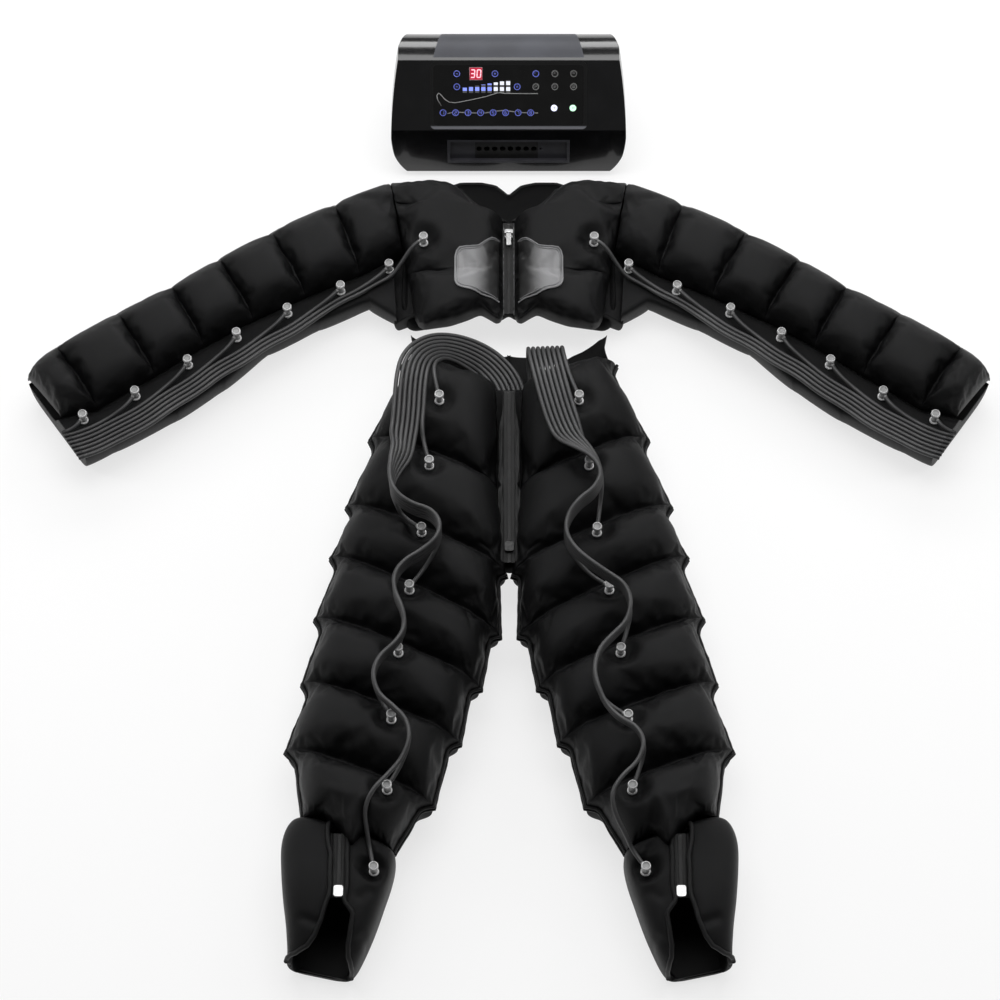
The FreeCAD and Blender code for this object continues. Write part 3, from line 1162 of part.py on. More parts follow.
def make_garments(nodes):
    frames = leg_frames(FLY_HALF)
    leg, boot, sleeve = make_leg(), make_boot(), make_sleeve()
    nodes["left_leg"], nodes["right_leg"] = leg, [mirrored(s) for s in leg]
    nodes["left_boot"], nodes["right_boot"] = boot, [mirrored(s) for s in boot]
    nodes["left_sleeve"], nodes["right_sleeve"] = sleeve, [mirrored(s) for s in sleeve]
    nodes["jacket_front"] = both_sides(make_chest())
    nodes["jacket_back"] = both_sides(make_jacket_back())
    fly_tape = middle_zip(*fly_ends(), LEG_TOP)
    jacket_tape = middle_zip(*jacket_zip_ends(), JACKET_TOP)
    nodes["zip_tapes"] = [jacket_tape, fly_tape] + both_sides([make_boot_zip()])
    nodes["jacket_slider"] = [make_jacket_slider()]
    nodes["jacket_pull"] = [make_jacket_pull()]
    nodes["fly_slider"] = [make_fly_slider()]
    nodes["left_boot_slider"] = [make_boot_slider()]
    nodes["right_boot_slider"] = [mirrored(make_boot_slider())]
    leg_seats = [leg_seat(frames, number) for number in range(len(frames) - 1)] + [boot_seat()]
    arm_seats = [bed_seat(number) for number in reversed(range(len(sleeve_frames()) - 1))] + [chest_seat()]
    right_seats = [Vector(-s.x, s.y, s.z) for s in leg_seats]
    left_route = laid_route(LEFT_LEG_ROUTE_SHARES, TOE_Y + LEG_ROUTE_RISE)
    right_route = laid_route(RIGHT_LEG_ROUTE_SHARES, TOE_Y + LEG_ROUTE_RISE)
    arm_route = laid_route(SLEEVE_ROUTE_SHARES, HEM_Y - SLEEVE_ROUTE_DROP)
    left_tubes, left_fittings, _ = bundle("left leg", left_route, LEFT_LEG_POINT_COUNTS, leg_seats,
                                          LEG_APPROACH, LEG_CURL_SHARE, 0)
    right_tubes, right_fittings, _ = bundle("right leg", right_route, RIGHT_LEG_POINT_COUNTS, right_seats,
                                            LEG_APPROACH, LEG_CURL_SHARE, 0)
    arm_tubes, arm_fittings, cuff_starts = bundle("sleeve", arm_route, SLEEVE_POINT_COUNTS, arm_seats,
                                                  SLEEVE_APPROACH, SLEEVE_CURL_SHARE, CUFF_STAGGER)
    nodes["left_leg_hoses"], nodes["right_leg_hoses"] = left_tubes, right_tubes
    nodes["left_sleeve_hoses"], nodes["right_sleeve_hoses"] = arm_tubes, [mirrored(t) for t in arm_tubes]
    nodes["hose_fittings"] = left_fittings + right_fittings + both_sides(arm_fittings)
    cuff_ends = [ferrule(start, ahead) for start, ahead in cuff_starts]
    plugs = [plug(left_route, len(leg_seats)), plug(right_route, len(right_seats))]
    nodes["hose_ends"] = plugs + both_sides(cuff_ends)


def main():
    nodes = {}
    make_console(nodes)
    make_garments(nodes)
    os.makedirs("parts", exist_ok=True)
    for name, solids in nodes.items():
        Part.makeCompound(solids).exportStep("parts/%s.step" % name)


main()
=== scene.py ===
"""Looks of a pressotherapy suit: a console, a jacket and trousers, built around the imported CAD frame."""
import math

import bpy
import numpy as np
from bpy.props import FloatProperty, FloatVectorProperty, IntProperty, PointerProperty
from mathutils import Matrix, Vector, noise
from mathutils.bvhtree import BVHTree
from mathutils.kdtree import KDTree


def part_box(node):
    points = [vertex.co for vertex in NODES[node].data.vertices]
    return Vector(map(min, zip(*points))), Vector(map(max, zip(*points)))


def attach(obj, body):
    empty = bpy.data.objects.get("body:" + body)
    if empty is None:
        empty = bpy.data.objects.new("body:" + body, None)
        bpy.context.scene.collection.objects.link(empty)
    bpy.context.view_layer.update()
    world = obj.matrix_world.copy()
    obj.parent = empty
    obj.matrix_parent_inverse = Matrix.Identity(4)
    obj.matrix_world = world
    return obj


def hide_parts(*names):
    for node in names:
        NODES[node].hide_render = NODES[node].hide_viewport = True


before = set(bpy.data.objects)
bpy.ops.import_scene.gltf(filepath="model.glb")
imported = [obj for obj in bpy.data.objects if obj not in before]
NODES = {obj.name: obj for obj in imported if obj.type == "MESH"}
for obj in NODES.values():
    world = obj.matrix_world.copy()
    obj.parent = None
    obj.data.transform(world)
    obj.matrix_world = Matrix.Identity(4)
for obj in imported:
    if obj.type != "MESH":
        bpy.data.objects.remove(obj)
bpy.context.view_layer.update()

bl_info = {
    "name": "Pressotherapy suit",
    "version": (1, 0, 0),
    "blender": (4, 5, 0),
    "location": "View3D > Sidebar > Suit",
    "description": "Dresses the packed suit with padded garments, hoses, zips and a finished console",
    "category": "Object",
}

BODY = "set"

# Trousers, in metres; tips are shares of the leg's spread and of the trousers' length
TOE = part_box("left_boot")[0].y
TROUSER_LENGTH = 1.025
LEG_SPREAD = 0.316
LEG_TOP = 0.080
LEG_BACK = 0.050
LEG_EDGE = 0.066
LEG_SEAM_RISE = 0.024
LEG_CROWN_RISE = 0.062
LEG_DRAW = 0.013
FLY_HALF = 0.017
WAIST_SEAMS = 2
OUTER_TIP_SHARES = ((0.513, 0.946), (0.655, 0.817), (0.756, 0.704), (0.823, 0.620), (0.886, 0.521),
                    (0.937, 0.419), (1.0, 0.315), (0.915, 0.2156))
INNER_TIP_SHARES = ((0.0, 0.900), (0.0, 0.733), (0.013, 0.595), (0.044, 0.496), (0.133, 0.4137),
                    (0.225, 0.3288), (0.339, 0.2332), (0.513, 0.1639))
BACK_WAIST_SHARES = ((0.475, 1.0), (0.0, 0.972))
WAIST_BEND = ((0.0, 0.0), (0.08, 0.002), (0.26, -0.010), (0.45, -0.018), (0.60, -0.024), (0.70, -0.020),
              (0.79, -0.004), (1.0, 0.0))
WAIST_DIP = ((0.0, -0.012), (0.1, -0.010), (0.26, 0.004), (0.45, 0.014), (0.60, 0.020), (0.70, 0.014),
             (0.79, 0.0), (1.0, 0.0))
BACK_LAP = 0.003
NOTCH_AT = (0.0, 0.08, 0.16, 0.3, 0.55, 0.8, 0.94, 1.0)
NOTCH_SHARES = (0.0, 0.75, 1.0, 0.85, 0.55, 0.3, 0.15, 0.0)

# Boots
BOOT_OUTER_SHARES = ((0.915, 0.2156), (1.009, 0.165), (0.984, 0.077), (0.975, 0.019))
BOOT_INNER_SHARES = ((0.513, 0.1639), (0.520, 0.122), (0.601, 0.045), (0.690, 0.0))
BOOT_HEIGHTS = (0.104, 0.110, 0.099, 0.062)
BOOT_ZIP_SHARES = ((0.744, 0.176), (0.744, 0.085))
BOOT_ZIP_LEVELS = (0.107, 0.101)
BOOT_SEAT_SHARE = 0.85
BOOT_SEAT_DEPTH = 0.023
LIP_AT = (0.0, 0.333, 0.5, 0.57, 0.62, 0.70, 0.80, 0.88, 0.95, 1.0)
OUTER_LIP_TURNS = (0.16, 0.011, 0.0, 0.0, 0.01, 0.03, 0.10, 0.24, 0.62, 1.5)
INNER_LIP_TURNS = (0.004, 0.091, 0.16, 0.15, 0.38, 0.42, 0.50, 0.68, 1.1, 1.7)
FOLD_LIFT = ((0.0, 0.0), (0.3, 0.003), (0.58, 0.007), (0.8, 0.002), (1.0, 0.0))
BOOT_FOLD = ((0.0, 0.0), (0.12, 0.002), (0.25, 0.004), (0.42, -0.012), (0.56, -0.032), (0.64, -0.014),
             (0.72, 0.0), (1.0, 0.0))

# Jacket; tips are shares of the reach from the middle to the cuff and of the depth from hem to shoulder
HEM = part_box("jacket_back")[0].y
JACKET_REACH = 0.729
JACKET_DEPTH = 0.271
JACKET_TOP = 0.056
JACKET_BACK = 0.032
JACKET_EDGE = 0.044
SLEEVE_SEAM_RISE = 0.022
SLEEVE_CROWN_RISE = 0.052
CHEST_SEAM_RISE = 0.026
CHEST_CROWN_RISE = 0.043
ZIP_HALF = 0.013
ZIP_GROOVE = 0.0085
SLEEVE_TOP_SHARES = ((0.255, 0.930), (0.376, 0.790), (0.508, 0.587), (0.616, 0.402), (0.713, 0.210),
                     (0.822, 0.033), (0.945, -0.185), (1.0, -0.343))
SLEEVE_LOW_SHARES = ((0.224, 0.480), (0.314, 0.336), (0.427, 0.188), (0.535, 0.030), (0.636, -0.144),
                     (0.734, -0.339), (0.848, -0.557), (0.923, -0.605))
SLEEVE_EDGE_SHARES = ((0.235, 0.060), (0.292, 0.180), (0.396, 0.041), (0.502, -0.125), (0.588, -0.358),
                      (0.683, -0.561), (0.804, -0.760), (0.868, -0.852))
CHEST_OUTER_SHARES = (0.02, 0.40, 1.35, 1.85)
CHEST_INNER_SHARES = ((0.108, 0.923), (0.0, 0.697), (0.0, 0.277), (0.0, 0.055))
COLLAR_SHARES = ((0.253, 0.930), (0.185, 0.930), (0.126, 1.0), (0.03, 0.985), (0.0, 0.955))
PATCH_TOP = ((-0.082, 0.370), (-0.080, 0.379), (-0.075, 0.384), (-0.060, 0.384), (-0.046, 0.387),
             (-0.036, 0.397), (-0.026, 0.408), (-0.015, 0.413))
PATCH_LOW = ((-0.082, 0.322), (-0.079, 0.314), (-0.072, 0.310), (-0.054, 0.306), (-0.037, 0.300),
             (-0.015, 0.297))
HEM_BEND = ((0.0, -0.012), (0.05, -0.028), (0.12, -0.034), (0.4, -0.025), (0.6, -0.012), (0.74, 0.0),
            (0.8, -0.004), (0.92, -0.014), (0.97, -0.011), (1.0, 0.0))
SHOULDER_DEPTH = ((0.0, 0.0), (0.3, 0.0), (0.42, 0.35), (0.62, 0.9), (1.0, 1.0))

# Quilting
CROWDING = 0.6
CHAMBER_ROWS = 22
LEG_COLUMNS = 54
SLEEVE_COLUMNS = 34
CHEST_COLUMNS = 34
ACROSS_POWER = 3.2
ACROSS_ROOT = 0.5
ALONG_POWER = 2.6
ALONG_ROOT = 0.55
TUB_POWER = 9.0
FULL_DEPTH = ((0.0, 1.0), (1.0, 1.0))
SLEEVE_DEPTH = ((0.0, 0.0), (0.12, 0.1), (0.3, 0.9), (1.0, 1.0))

# Hoses and fittings: seats as shares along and across a chamber
FLANGE_HEIGHT = 0.003
NECK_HEIGHT = 0.014
BARB_REACH = 0.010
BARB_DROP = 0.0036
BARB_RADIUS = 0.0026
SEAT_SINK = 0.0085
SEAT_RADIUS = 0.009
LEG_SEAT_SHARES = ((0.53, 0.49), (0.30, 0.49), (0.20, 0.49), (0.21, 0.495), (0.26, 0.54), (0.27, 0.615),
                   (0.28, 0.745))
BED_SEAT_STEP = 0.013
BED_SEAT_SHARE = 0.42
CHEST_SEAT_SHARES = (0.58, 0.22)
HOSE_DIAMETER = 0.0064
HOSE_PITCH = 0.0072
LEG_APPROACH = 0.024
SLEEVE_APPROACH = 0.012
LEG_CURL = 0.2
SLEEVE_CURL = 1.0
CUFF_STAGGER = 0.0018

# Hose routes from plug or cuff to last fitting: x, y, z, twist of the bundle, lane on the route
LEFT_LEG_ROUTE = (
    (-.016, .110, .057, 0, 1), (-.017, .138, .057, 0, 1), (-.026, .165, .058, 0, 1),
    (-.045, .186, .063, 0, 1), (-.070, .193, .080, 0, 1), (-.093, .189, .102, 0, 1),
    (-.109, .174, .122, 0, 1), (-.119, .152, .138, 0, 1), (-.123, .124, .149, 0, 1),
    (-.125, .094, .153, 0, 1), (-.126, .064, .154, 0, 1), (-.128, .034, .154, 0, 1),
    (-.132, .004, .154, 12, 1), (-.144, -.023, .154, 40, 2), (-.161, -.048, .155, 70, 2),
    (-.172, -.076, .156, 88, 2), (-.163, -.102, .156, 90, 2), (-.139, -.116, .156, 90, 3),
    (-.113, -.124, .156, 90, 3), (-.098, -.145, .156, 90, 3), (-.103, -.171, .156, 90, 3),
    (-.125, -.188, .156, 90, 4), (-.149, -.203, .156, 90, 4), (-.165, -.226, .156, 90, 4),
    (-.163, -.254, .156, 90, 4), (-.151, -.280, .156, 90, 4), (-.147, -.307, .156, 90, 5),
    (-.160, -.332, .156, 90, 5), (-.182, -.352, .156, 90, 5), (-.193, -.379, .156, 90, 5),
    (-.185, -.408, .156, 90, 6), (-.163, -.428, .156, 90, 6), (-.143, -.449, .156, 90, 6),
    (-.138, -.478, .156, 90, 6), (-.149, -.506, .156, 90, 7), (-.169, -.531, .156, 90, 7),
    (-.190, -.554, .156, 90, 7), (-.201, -.577, .140, 90, 7), (-.197, -.600, .118, 90, 7))
LEFT_LEG_LEAVES = (7, 11, 16, 20, 25, 29, 33, 38)
RIGHT_LEG_ROUTE = (
    (.086, .108, .057, 180, 1), (.082, .136, .057, 180, 1), (.076, .163, .060, 180, 1),
    (.072, .188, .074, 180, 1), (.072, .200, .099, 180, 1), (.072, .190, .125, 0, 1),
    (.074, .165, .141, 0, 1), (.079, .136, .150, 0, 1), (.085, .106, .153, 0, 1),
    (.092, .076, .154, 0, 1), (.100, .047, .154, 0, 1), (.109, .018, .157, 12, 1),
    (.121, -.010, .160, 40, 2), (.132, -.038, .160, 70, 2), (.135, -.067, .158, 88, 2),
    (.123, -.093, .156, 90, 2), (.100, -.111, .156, 90, 2), (.083, -.134, .156, 90, 3),
    (.080, -.162, .156, 90, 3), (.093, -.188, .156, 90, 3), (.115, -.209, .156, 90, 3),
    (.141, -.225, .156, 90, 4), (.164, -.242, .156, 90, 4), (.173, -.269, .156, 90, 4),
    (.166, -.298, .156, 90, 5), (.146, -.319, .156, 90, 5), (.127, -.340, .156, 90, 5),
    (.118, -.368, .156, 90, 5), (.122, -.397, .156, 90, 5), (.134, -.425, .156, 90, 6),
    (.153, -.447, .156, 90, 6), (.177, -.460, .156, 90, 6), (.188, -.485, .156, 90, 6),
    (.177, -.512, .156, 90, 7), (.155, -.532, .156, 90, 7), (.140, -.556, .152, 90, 7),
    (.145, -.584, .140, 90, 7), (.160, -.606, .122, 90, 7))
RIGHT_LEG_LEAVES = (7, 10, 14, 19, 23, 28, 32, 37)
SLEEVE_ROUTE = (
    (-.661, .081, .060, 0, 0), (-.634, .090, .060, 0, 0), (-.598, .105, .060, 0, 1),
    (-.562, .127, .060, 0, 1), (-.524, .152, .060, 0, 2), (-.487, .178, .060, 0, 2),
    (-.451, .203, .060, 0, 3), (-.414, .227, .060, 0, 3), (-.377, .250, .060, 0, 4),
    (-.339, .272, .060, 0, 4), (-.301, .295, .060, 0, 5), (-.264, .316, .060, 0, 6),
    (-.232, .333, .060, 0, 6), (-.203, .346, .060, 0, 7), (-.180, .358, .062, 0, 7),
    (-.164, .374, .077, 0, 7))
SLEEVE_LEAVES = (0, 2, 4, 6, 8, 10, 12, 15)

# Console panel
CONSOLE_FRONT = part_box("console_cover")[1].y - 0.188
PANEL_MIDDLE = Vector((0.0, CONSOLE_FRONT + 0.06689, 0.12311))
PANEL_TILT = math.radians(45.0)
GLASS_WIDTH = 0.235
GLASS_HEIGHT = 0.095
GLASS_TOP = 0.0005
KEY_TOP = 0.0014
KEY_RADIUS = 0.0055


# Settings

def colour_of(name, description, default):
    return FloatVectorProperty(name=name, description=description, default=default, subtype="COLOR",
                               min=0.0, max=1.0)


def length_of(name, description, default):
    return FloatProperty(name=name, description=description, default=default, subtype="DISTANCE",
                         unit="LENGTH", min=0.0, precision=4)


def power_of(name, description, default):
    return FloatProperty(name=name, description=description, default=default, subtype="POWER",
                         unit="POWER", min=0.0)


def level_of(name, description, default, most):
    return FloatProperty(name=name, description=description, default=default, min=0.0, max=most)


class GarmentLook(bpy.types.PropertyGroup):
    """Cloth of the jacket and the trousers."""

    cloth: colour_of("Cloth", "Coated nylon of the air chambers", (0.0034, 0.0034, 0.0037))
    lining: colour_of("Lining", "Cloth inside the waist, the neck and the boots", (0.0026, 0.0026, 0.0028))
    piping: colour_of("Piping", "Rolled edges and bindings", (0.0085, 0.0085, 0.0088))
    patch: colour_of("Chest patch", "Outer half of the coated patches on the chest", (0.20, 0.20, 0.205))
    pucker: length_of("Pucker height", "Height of the small gathers along the seams", 0.0016)
    piping_radius: length_of("Piping radius", "Radius of the rolled edges of the legs", 0.0025)
    pressure: level_of("Air pressure", "How hard the chambers are blown up", 4.0, 20.0)
    frames: IntProperty(name="Swelling frames", description="How long the chambers are left to swell",
                        default=20, min=2, max=60)


class HoseLook(bpy.types.PropertyGroup):
    """Air hoses, their ends and their fittings."""

    rubber: colour_of("Hose", "Rubber of the air hoses", (0.036, 0.036, 0.037))
    fitting: colour_of("Fitting", "Moulded body of the hose fittings", (0.60, 0.60, 0.60))
    end: colour_of("Hose end", "Plugs and end sleeves of the hoses", (0.016, 0.016, 0.017))
    sleeve_radius: length_of("End sleeve radius", "Radius of the sleeves on the hoses at the cuffs", 0.0035)


class ConsoleLook(bpy.types.PropertyGroup):
    """Case, panel and lit marks of the console."""

    case: colour_of("Case", "Glossy shells", (0.0045, 0.0045, 0.005))
    band: colour_of("Top band", "Satin strip on the top", (0.034, 0.036, 0.046))
    lip_highlight: colour_of("Panel lip", "Lower facet of the panel's frame", (0.24, 0.245, 0.27))
    # Painted highlight: the bright grey of the bezel's lower facet stands for the light that this facet
    # catches from above
    display: colour_of("Display", "Lens of the time display", (0.62, 0.02, 0.06))
    blue: colour_of("Lit rings", "Rings and signs of the lit keys", (0.16, 0.20, 0.75))
    glow: level_of("Glow", "Strength of the lit marks", 0.9, 5.0)


class StageLook(bpy.types.PropertyGroup):
    """Floor, lamps and camera."""

    floor: colour_of("Floor", "Plain pale floor", (0.92, 0.92, 0.92))
    distance: length_of("Camera distance", "From the camera to the middle of the set", 5.0)
    elevation: FloatProperty(name="Camera elevation", description="Angle of the view above the floor",
                             default=math.radians(60.0), subtype="ANGLE", unit="ROTATION")
    overhead: power_of("Overhead lamp", "Power of the soft light above", 85.0)
    rear: power_of("Rear lamp", "Power of the soft light behind the set", 95.0)
    sides: power_of("Side lamps", "Power of the strip light on each side", 18.0)
    ambient: level_of("Ambient light", "Strength of the plain surroundings", 0.12, 1.0)


LOOKS = {"suit_garment": GarmentLook, "suit_hoses": HoseLook, "suit_console": ConsoleLook,
         "suit_stage": StageLook}


def look(name):
    return getattr(bpy.context.scene, "suit_" + name)


# Node materials

class Wire:
    """One output of a material's nodes. Sums, differences and products of wires add Math nodes."""

    def __init__(self, finish, socket):
        self.finish = finish
        self.socket = socket

    def __add__(self, other):
        return self.finish.maths("ADD", self, other)

    def __radd__(self, other):
        return self.finish.maths("ADD", other, self)

    def __sub__(self, other):
        return self.finish.maths("SUBTRACT", self, other)

    def __rsub__(self, other):
        return self.finish.maths("SUBTRACT", other, self)

    def __mul__(self, other):
        return self.finish.maths("MULTIPLY", self, other)

    def __rmul__(self, other):
        return self.finish.maths("MULTIPLY", other, self)

    def between(self, low, high):
        """A soft step from 0 at low to 1 at high."""
        return self.finish.node("ShaderNodeMapRange", {"interpolation_type": "SMOOTHSTEP"},
                                {"Value": self, "From Min": low, "From Max": high})


FINISH_PREFIX = "look_"


class Finish:
    """A node material, named for what it covers."""

    def __init__(self, name):
        self.material = bpy.data.materials.new(FINISH_PREFIX + name)
        self.material.use_nodes = True
        self.tree = self.material.node_tree
        self.shader = self.tree.nodes["Principled BSDF"]
        self.place = self.node("ShaderNodeTexCoord", output="Object")

    def node(self, kind, settings=None, sockets=None, output=0):
        """Add a node: its settings first, then the values or wires of its sockets."""
        made = self.tree.nodes.new(kind)
        for name, value in (settings or {}).items():
            setattr(made, name, value)
        for name, value in (sockets or {}).items():
            self.feed(made.inputs[name], value)
        return Wire(self, made.outputs[output])

    def feed(self, socket, value):
        if isinstance(value, Wire):
            self.tree.links.new(value.socket, socket)
        else:
            socket.default_value = value

    def maths(self, operation, first, second):
        return self.node("ShaderNodeMath", {"operation": operation}, {0: first, 1: second})

    def mix(self, share, first, second):
        return self.node("ShaderNodeMix", {"data_type": "RGBA"}, {0: share, 6: first, 7: second}, output=2)

    def speckle(self, scale, detail=3.0, roughness=0.55):
        return self.node("ShaderNodeTexNoise", None,
                         {"Vector": self.place, "Scale": scale, "Detail": detail, "Roughness": roughness})

    def bands(self, scale, direction, distortion=0.0):
        return self.node("ShaderNodeTexWave", {"wave_type": "BANDS", "bands_direction": direction},
                         {"Vector": self.place, "Scale": scale, "Distortion": distortion}, output="Fac")

    def along(self, direction, middle):
        """Distance along a direction from a middle point."""
        moved = self.node("ShaderNodeVectorMath", {"operation": "SUBTRACT"}, {0: self.place, 1: middle})
        return self.node("ShaderNodeVectorMath", {"operation": "DOT_PRODUCT"}, {0: moved, 1: direction},
                         output="Value")

    def bump(self, height, distance):
        return self.node("ShaderNodeBump", None, {"Height": height, "Distance": distance})

    def dress(self, **sockets):
        """Set the shader's sockets; underscores in the names stand for spaces."""
        for name, value in sockets.items():
            self.feed(self.shader.inputs[name.replace("_", " ")], value)
        return self.material


def grey(level):
    return (level, level, level, 1.0)


def tint(colour, level=1.0):
    """A full colour from its three parts, made lighter or darker by a level."""
    return (*(part * level for part in colour), 1.0)


def nylon(name, colour, roughness, creases, gloss=0.17):
    """Coated nylon: fine plain weave, faint creases and a little unevenness in its gloss."""
    f = Finish(name)
    weave = f.bands(620.0, "X") * f.bands(620.0, "Y")
    crease = f.speckle(46.0, 4.0, 0.5)
    cloud = f.speckle(7.0, 2.0)
    normal = f.bump(weave * 0.12 + crease * creases, 0.0013)
    return f.dress(Base_Color=f.mix(cloud.between(0.3, 0.7), tint(colour, 0.7), tint(colour, 1.3)),
                   Roughness=roughness - 0.06 + cloud * 0.12, Normal=normal, Specular_IOR_Level=gloss)


def tape_cloth():
    """Zip tape: a coarse twill with matt threads."""
    f = Finish("zip_tape_twill")
    twill = f.bands(240.0, "DIAGONAL", 0.6)
    fuzz = f.speckle(900.0, 2.0)
    return f.dress(Base_Color=f.mix(twill, grey(0.006), grey(0.016)), Roughness=0.6 + fuzz * 0.2,
                   Normal=f.bump(twill + fuzz * 0.3, 0.0004))


def hose_rubber():
    f = Finish("hose_rubber")
    scuff = f.speckle(130.0, 5.0)
    bloom = f.speckle(11.0, 2.0)
    rubber = look("hoses").rubber
    return f.dress(Base_Color=f.mix(bloom.between(0.35, 0.7), tint(rubber, 0.75), tint(rubber, 1.25)),
                   Roughness=0.40 + scuff * 0.14, Normal=f.bump(scuff, 0.0001))


def moulded(name, dark, light, roughness, grain=900.0, depth=0.00006):
    """Moulded plastic with a fine grain and slightly uneven colour."""
    f = Finish(name)
    spark = f.speckle(grain, 2.0)
    cloud = f.speckle(30.0, 2.0)
    return f.dress(Base_Color=f.mix(cloud.between(0.3, 0.7), dark, light),
                   Roughness=roughness + spark * 0.12, Normal=f.bump(spark, depth))


def polished_metal(name, dark, light, roughness):
    f = Finish(name)
    wear = f.speckle(420.0, 4.0)
    return f.dress(Base_Color=f.mix(wear.between(0.3, 0.7), dark, light), Metallic=1.0,
                   Roughness=roughness + wear * 0.15, Normal=f.bump(wear, 0.00005))


def case_gloss():
    """Piano black shell: a deep coat with faint wipe marks."""
    f = Finish("case_gloss")
    wipe = f.speckle(24.0, 5.0)
    ripple = f.speckle(60.0, 1.0)
    case = look("console").case
    return f.dress(Base_Color=f.mix(wipe.between(0.4, 0.75), tint(case, 0.75), tint(case, 1.25)),
                   Roughness=0.16 + wipe * 0.08, Normal=f.bump(ripple, 0.00012), Coat_Weight=0.6,
                   Coat_Roughness=0.06)


def band_satin():
    """Satin grey strip with a fine brushed grain across it."""
    f = Finish("band_satin")
    grain = f.bands(180.0, "Y", 6.0)
    cloud = f.speckle(14.0, 2.0)
    band = look("console").band
    return f.dress(Base_Color=f.mix(cloud.between(0.3, 0.7), tint(band, 0.84), tint(band, 1.18)),
                   Metallic=0.15, Roughness=0.46 + grain * 0.1, Normal=f.bump(grain, 0.00003))


PANEL_UP = (0.0, math.cos(PANEL_TILT), math.sin(PANEL_TILT))


def bezel_satin():
    """Black bezel whose lower facet is painted a bright grey: a painted highlight for the light that this
    facet catches.
    """
    f = Finish("bezel_satin")
    up = f.along(PANEL_UP, tuple(PANEL_MIDDLE))
    # Painted highlight: mask of the bezel's lower facet, which is made bright grey and partly metallic for
    # the light it catches
    lip_highlight = 1.0 - up.between(-0.0492, -0.0475)
    grain = f.speckle(700.0, 2.0)
    return f.dress(Base_Color=f.mix(lip_highlight, grey(0.006), tint(look("console").lip_highlight)),
                   Roughness=0.30 + grain * 0.1, Metallic=lip_highlight * 0.4, Normal=f.bump(grain, 0.00004))


def panel_glass():
    f = Finish("panel_glass")
    smear = f.speckle(35.0, 5.0)
    return f.dress(Base_Color=f.mix(smear.between(0.4, 0.8), grey(0.003), grey(0.0055)),
                   Roughness=0.08 + smear * 0.07, Normal=f.bump(smear, 0.00004), Coat_Weight=0.4,
                   Coat_Roughness=0.03)


def lit(name, colour, strength):
    """A lit window or print: its colour glows, a little uneven."""
    f = Finish(name)
    cloud = f.speckle(260.0, 2.0)
    glow = f.mix(cloud.between(0.25, 0.75), tint(colour, 0.75), tint(colour))
    return f.dress(Base_Color=glow, Emission_Color=glow, Emission_Strength=strength * look("console").glow,
                   Roughness=0.35)


def level_light():
    """Level bars: the first ones blue, the rest white, each with bright segments."""
    f = Finish("bar_light")
    right = f.along((1.0, 0.0, 0.0), (-0.0252, 0.0, 0.0)).between(-0.002, 0.002)
    segment = f.bands(48.0, "Y").between(0.15, 0.45)
    colour = f.mix(right, tint((0.20, 0.26, 0.80)), tint((0.62, 0.64, 0.70)))
    glow = f.mix(segment, grey(0.05), colour)
    return f.dress(Base_Color=glow, Emission_Color=glow, Emission_Strength=look("console").glow,
                   Roughness=0.3)


def chest_patch():
    """Grey coated patch that darkens towards the zip."""
    f = Finish("chest_patch")
    across = f.along((1.0, 0.0, 0.0), (0.0, 0.0, 0.0))
    out = f.node("ShaderNodeMath", {"operation": "ABSOLUTE"}, {0: across})
    grain = f.speckle(600.0, 3.0)
    cloud = f.speckle(20.0, 3.0)
    tone = f.mix(out.between(0.026, 0.064), grey(0.012), tint(look("garment").patch))
    return f.dress(Base_Color=f.mix(cloud * 0.25, tone, grey(0.03)), Roughness=0.34 + grain * 0.1,
                   Normal=f.bump(grain + cloud * 2.0, 0.0002))


def circuit_board():
    f = Finish("board_green")
    tracks = f.bands(70.0, "X", 9.0).between(0.55, 0.65)
    return f.dress(Base_Color=f.mix(tracks, tint((0.006, 0.06, 0.022)), tint((0.02, 0.13, 0.05))),
                   Roughness=0.4 + tracks * 0.15, Normal=f.bump(tracks, 0.00008))


def clear_tube():
    f = Finish("tube_clear")
    haze = f.speckle(90.0, 3.0)
    return f.dress(Base_Color=f.mix(haze, tint((0.55, 0.58, 0.6)), tint((0.75, 0.77, 0.78))),
                   Roughness=0.25 + haze * 0.1, Transmission_Weight=0.6, IOR=1.42)


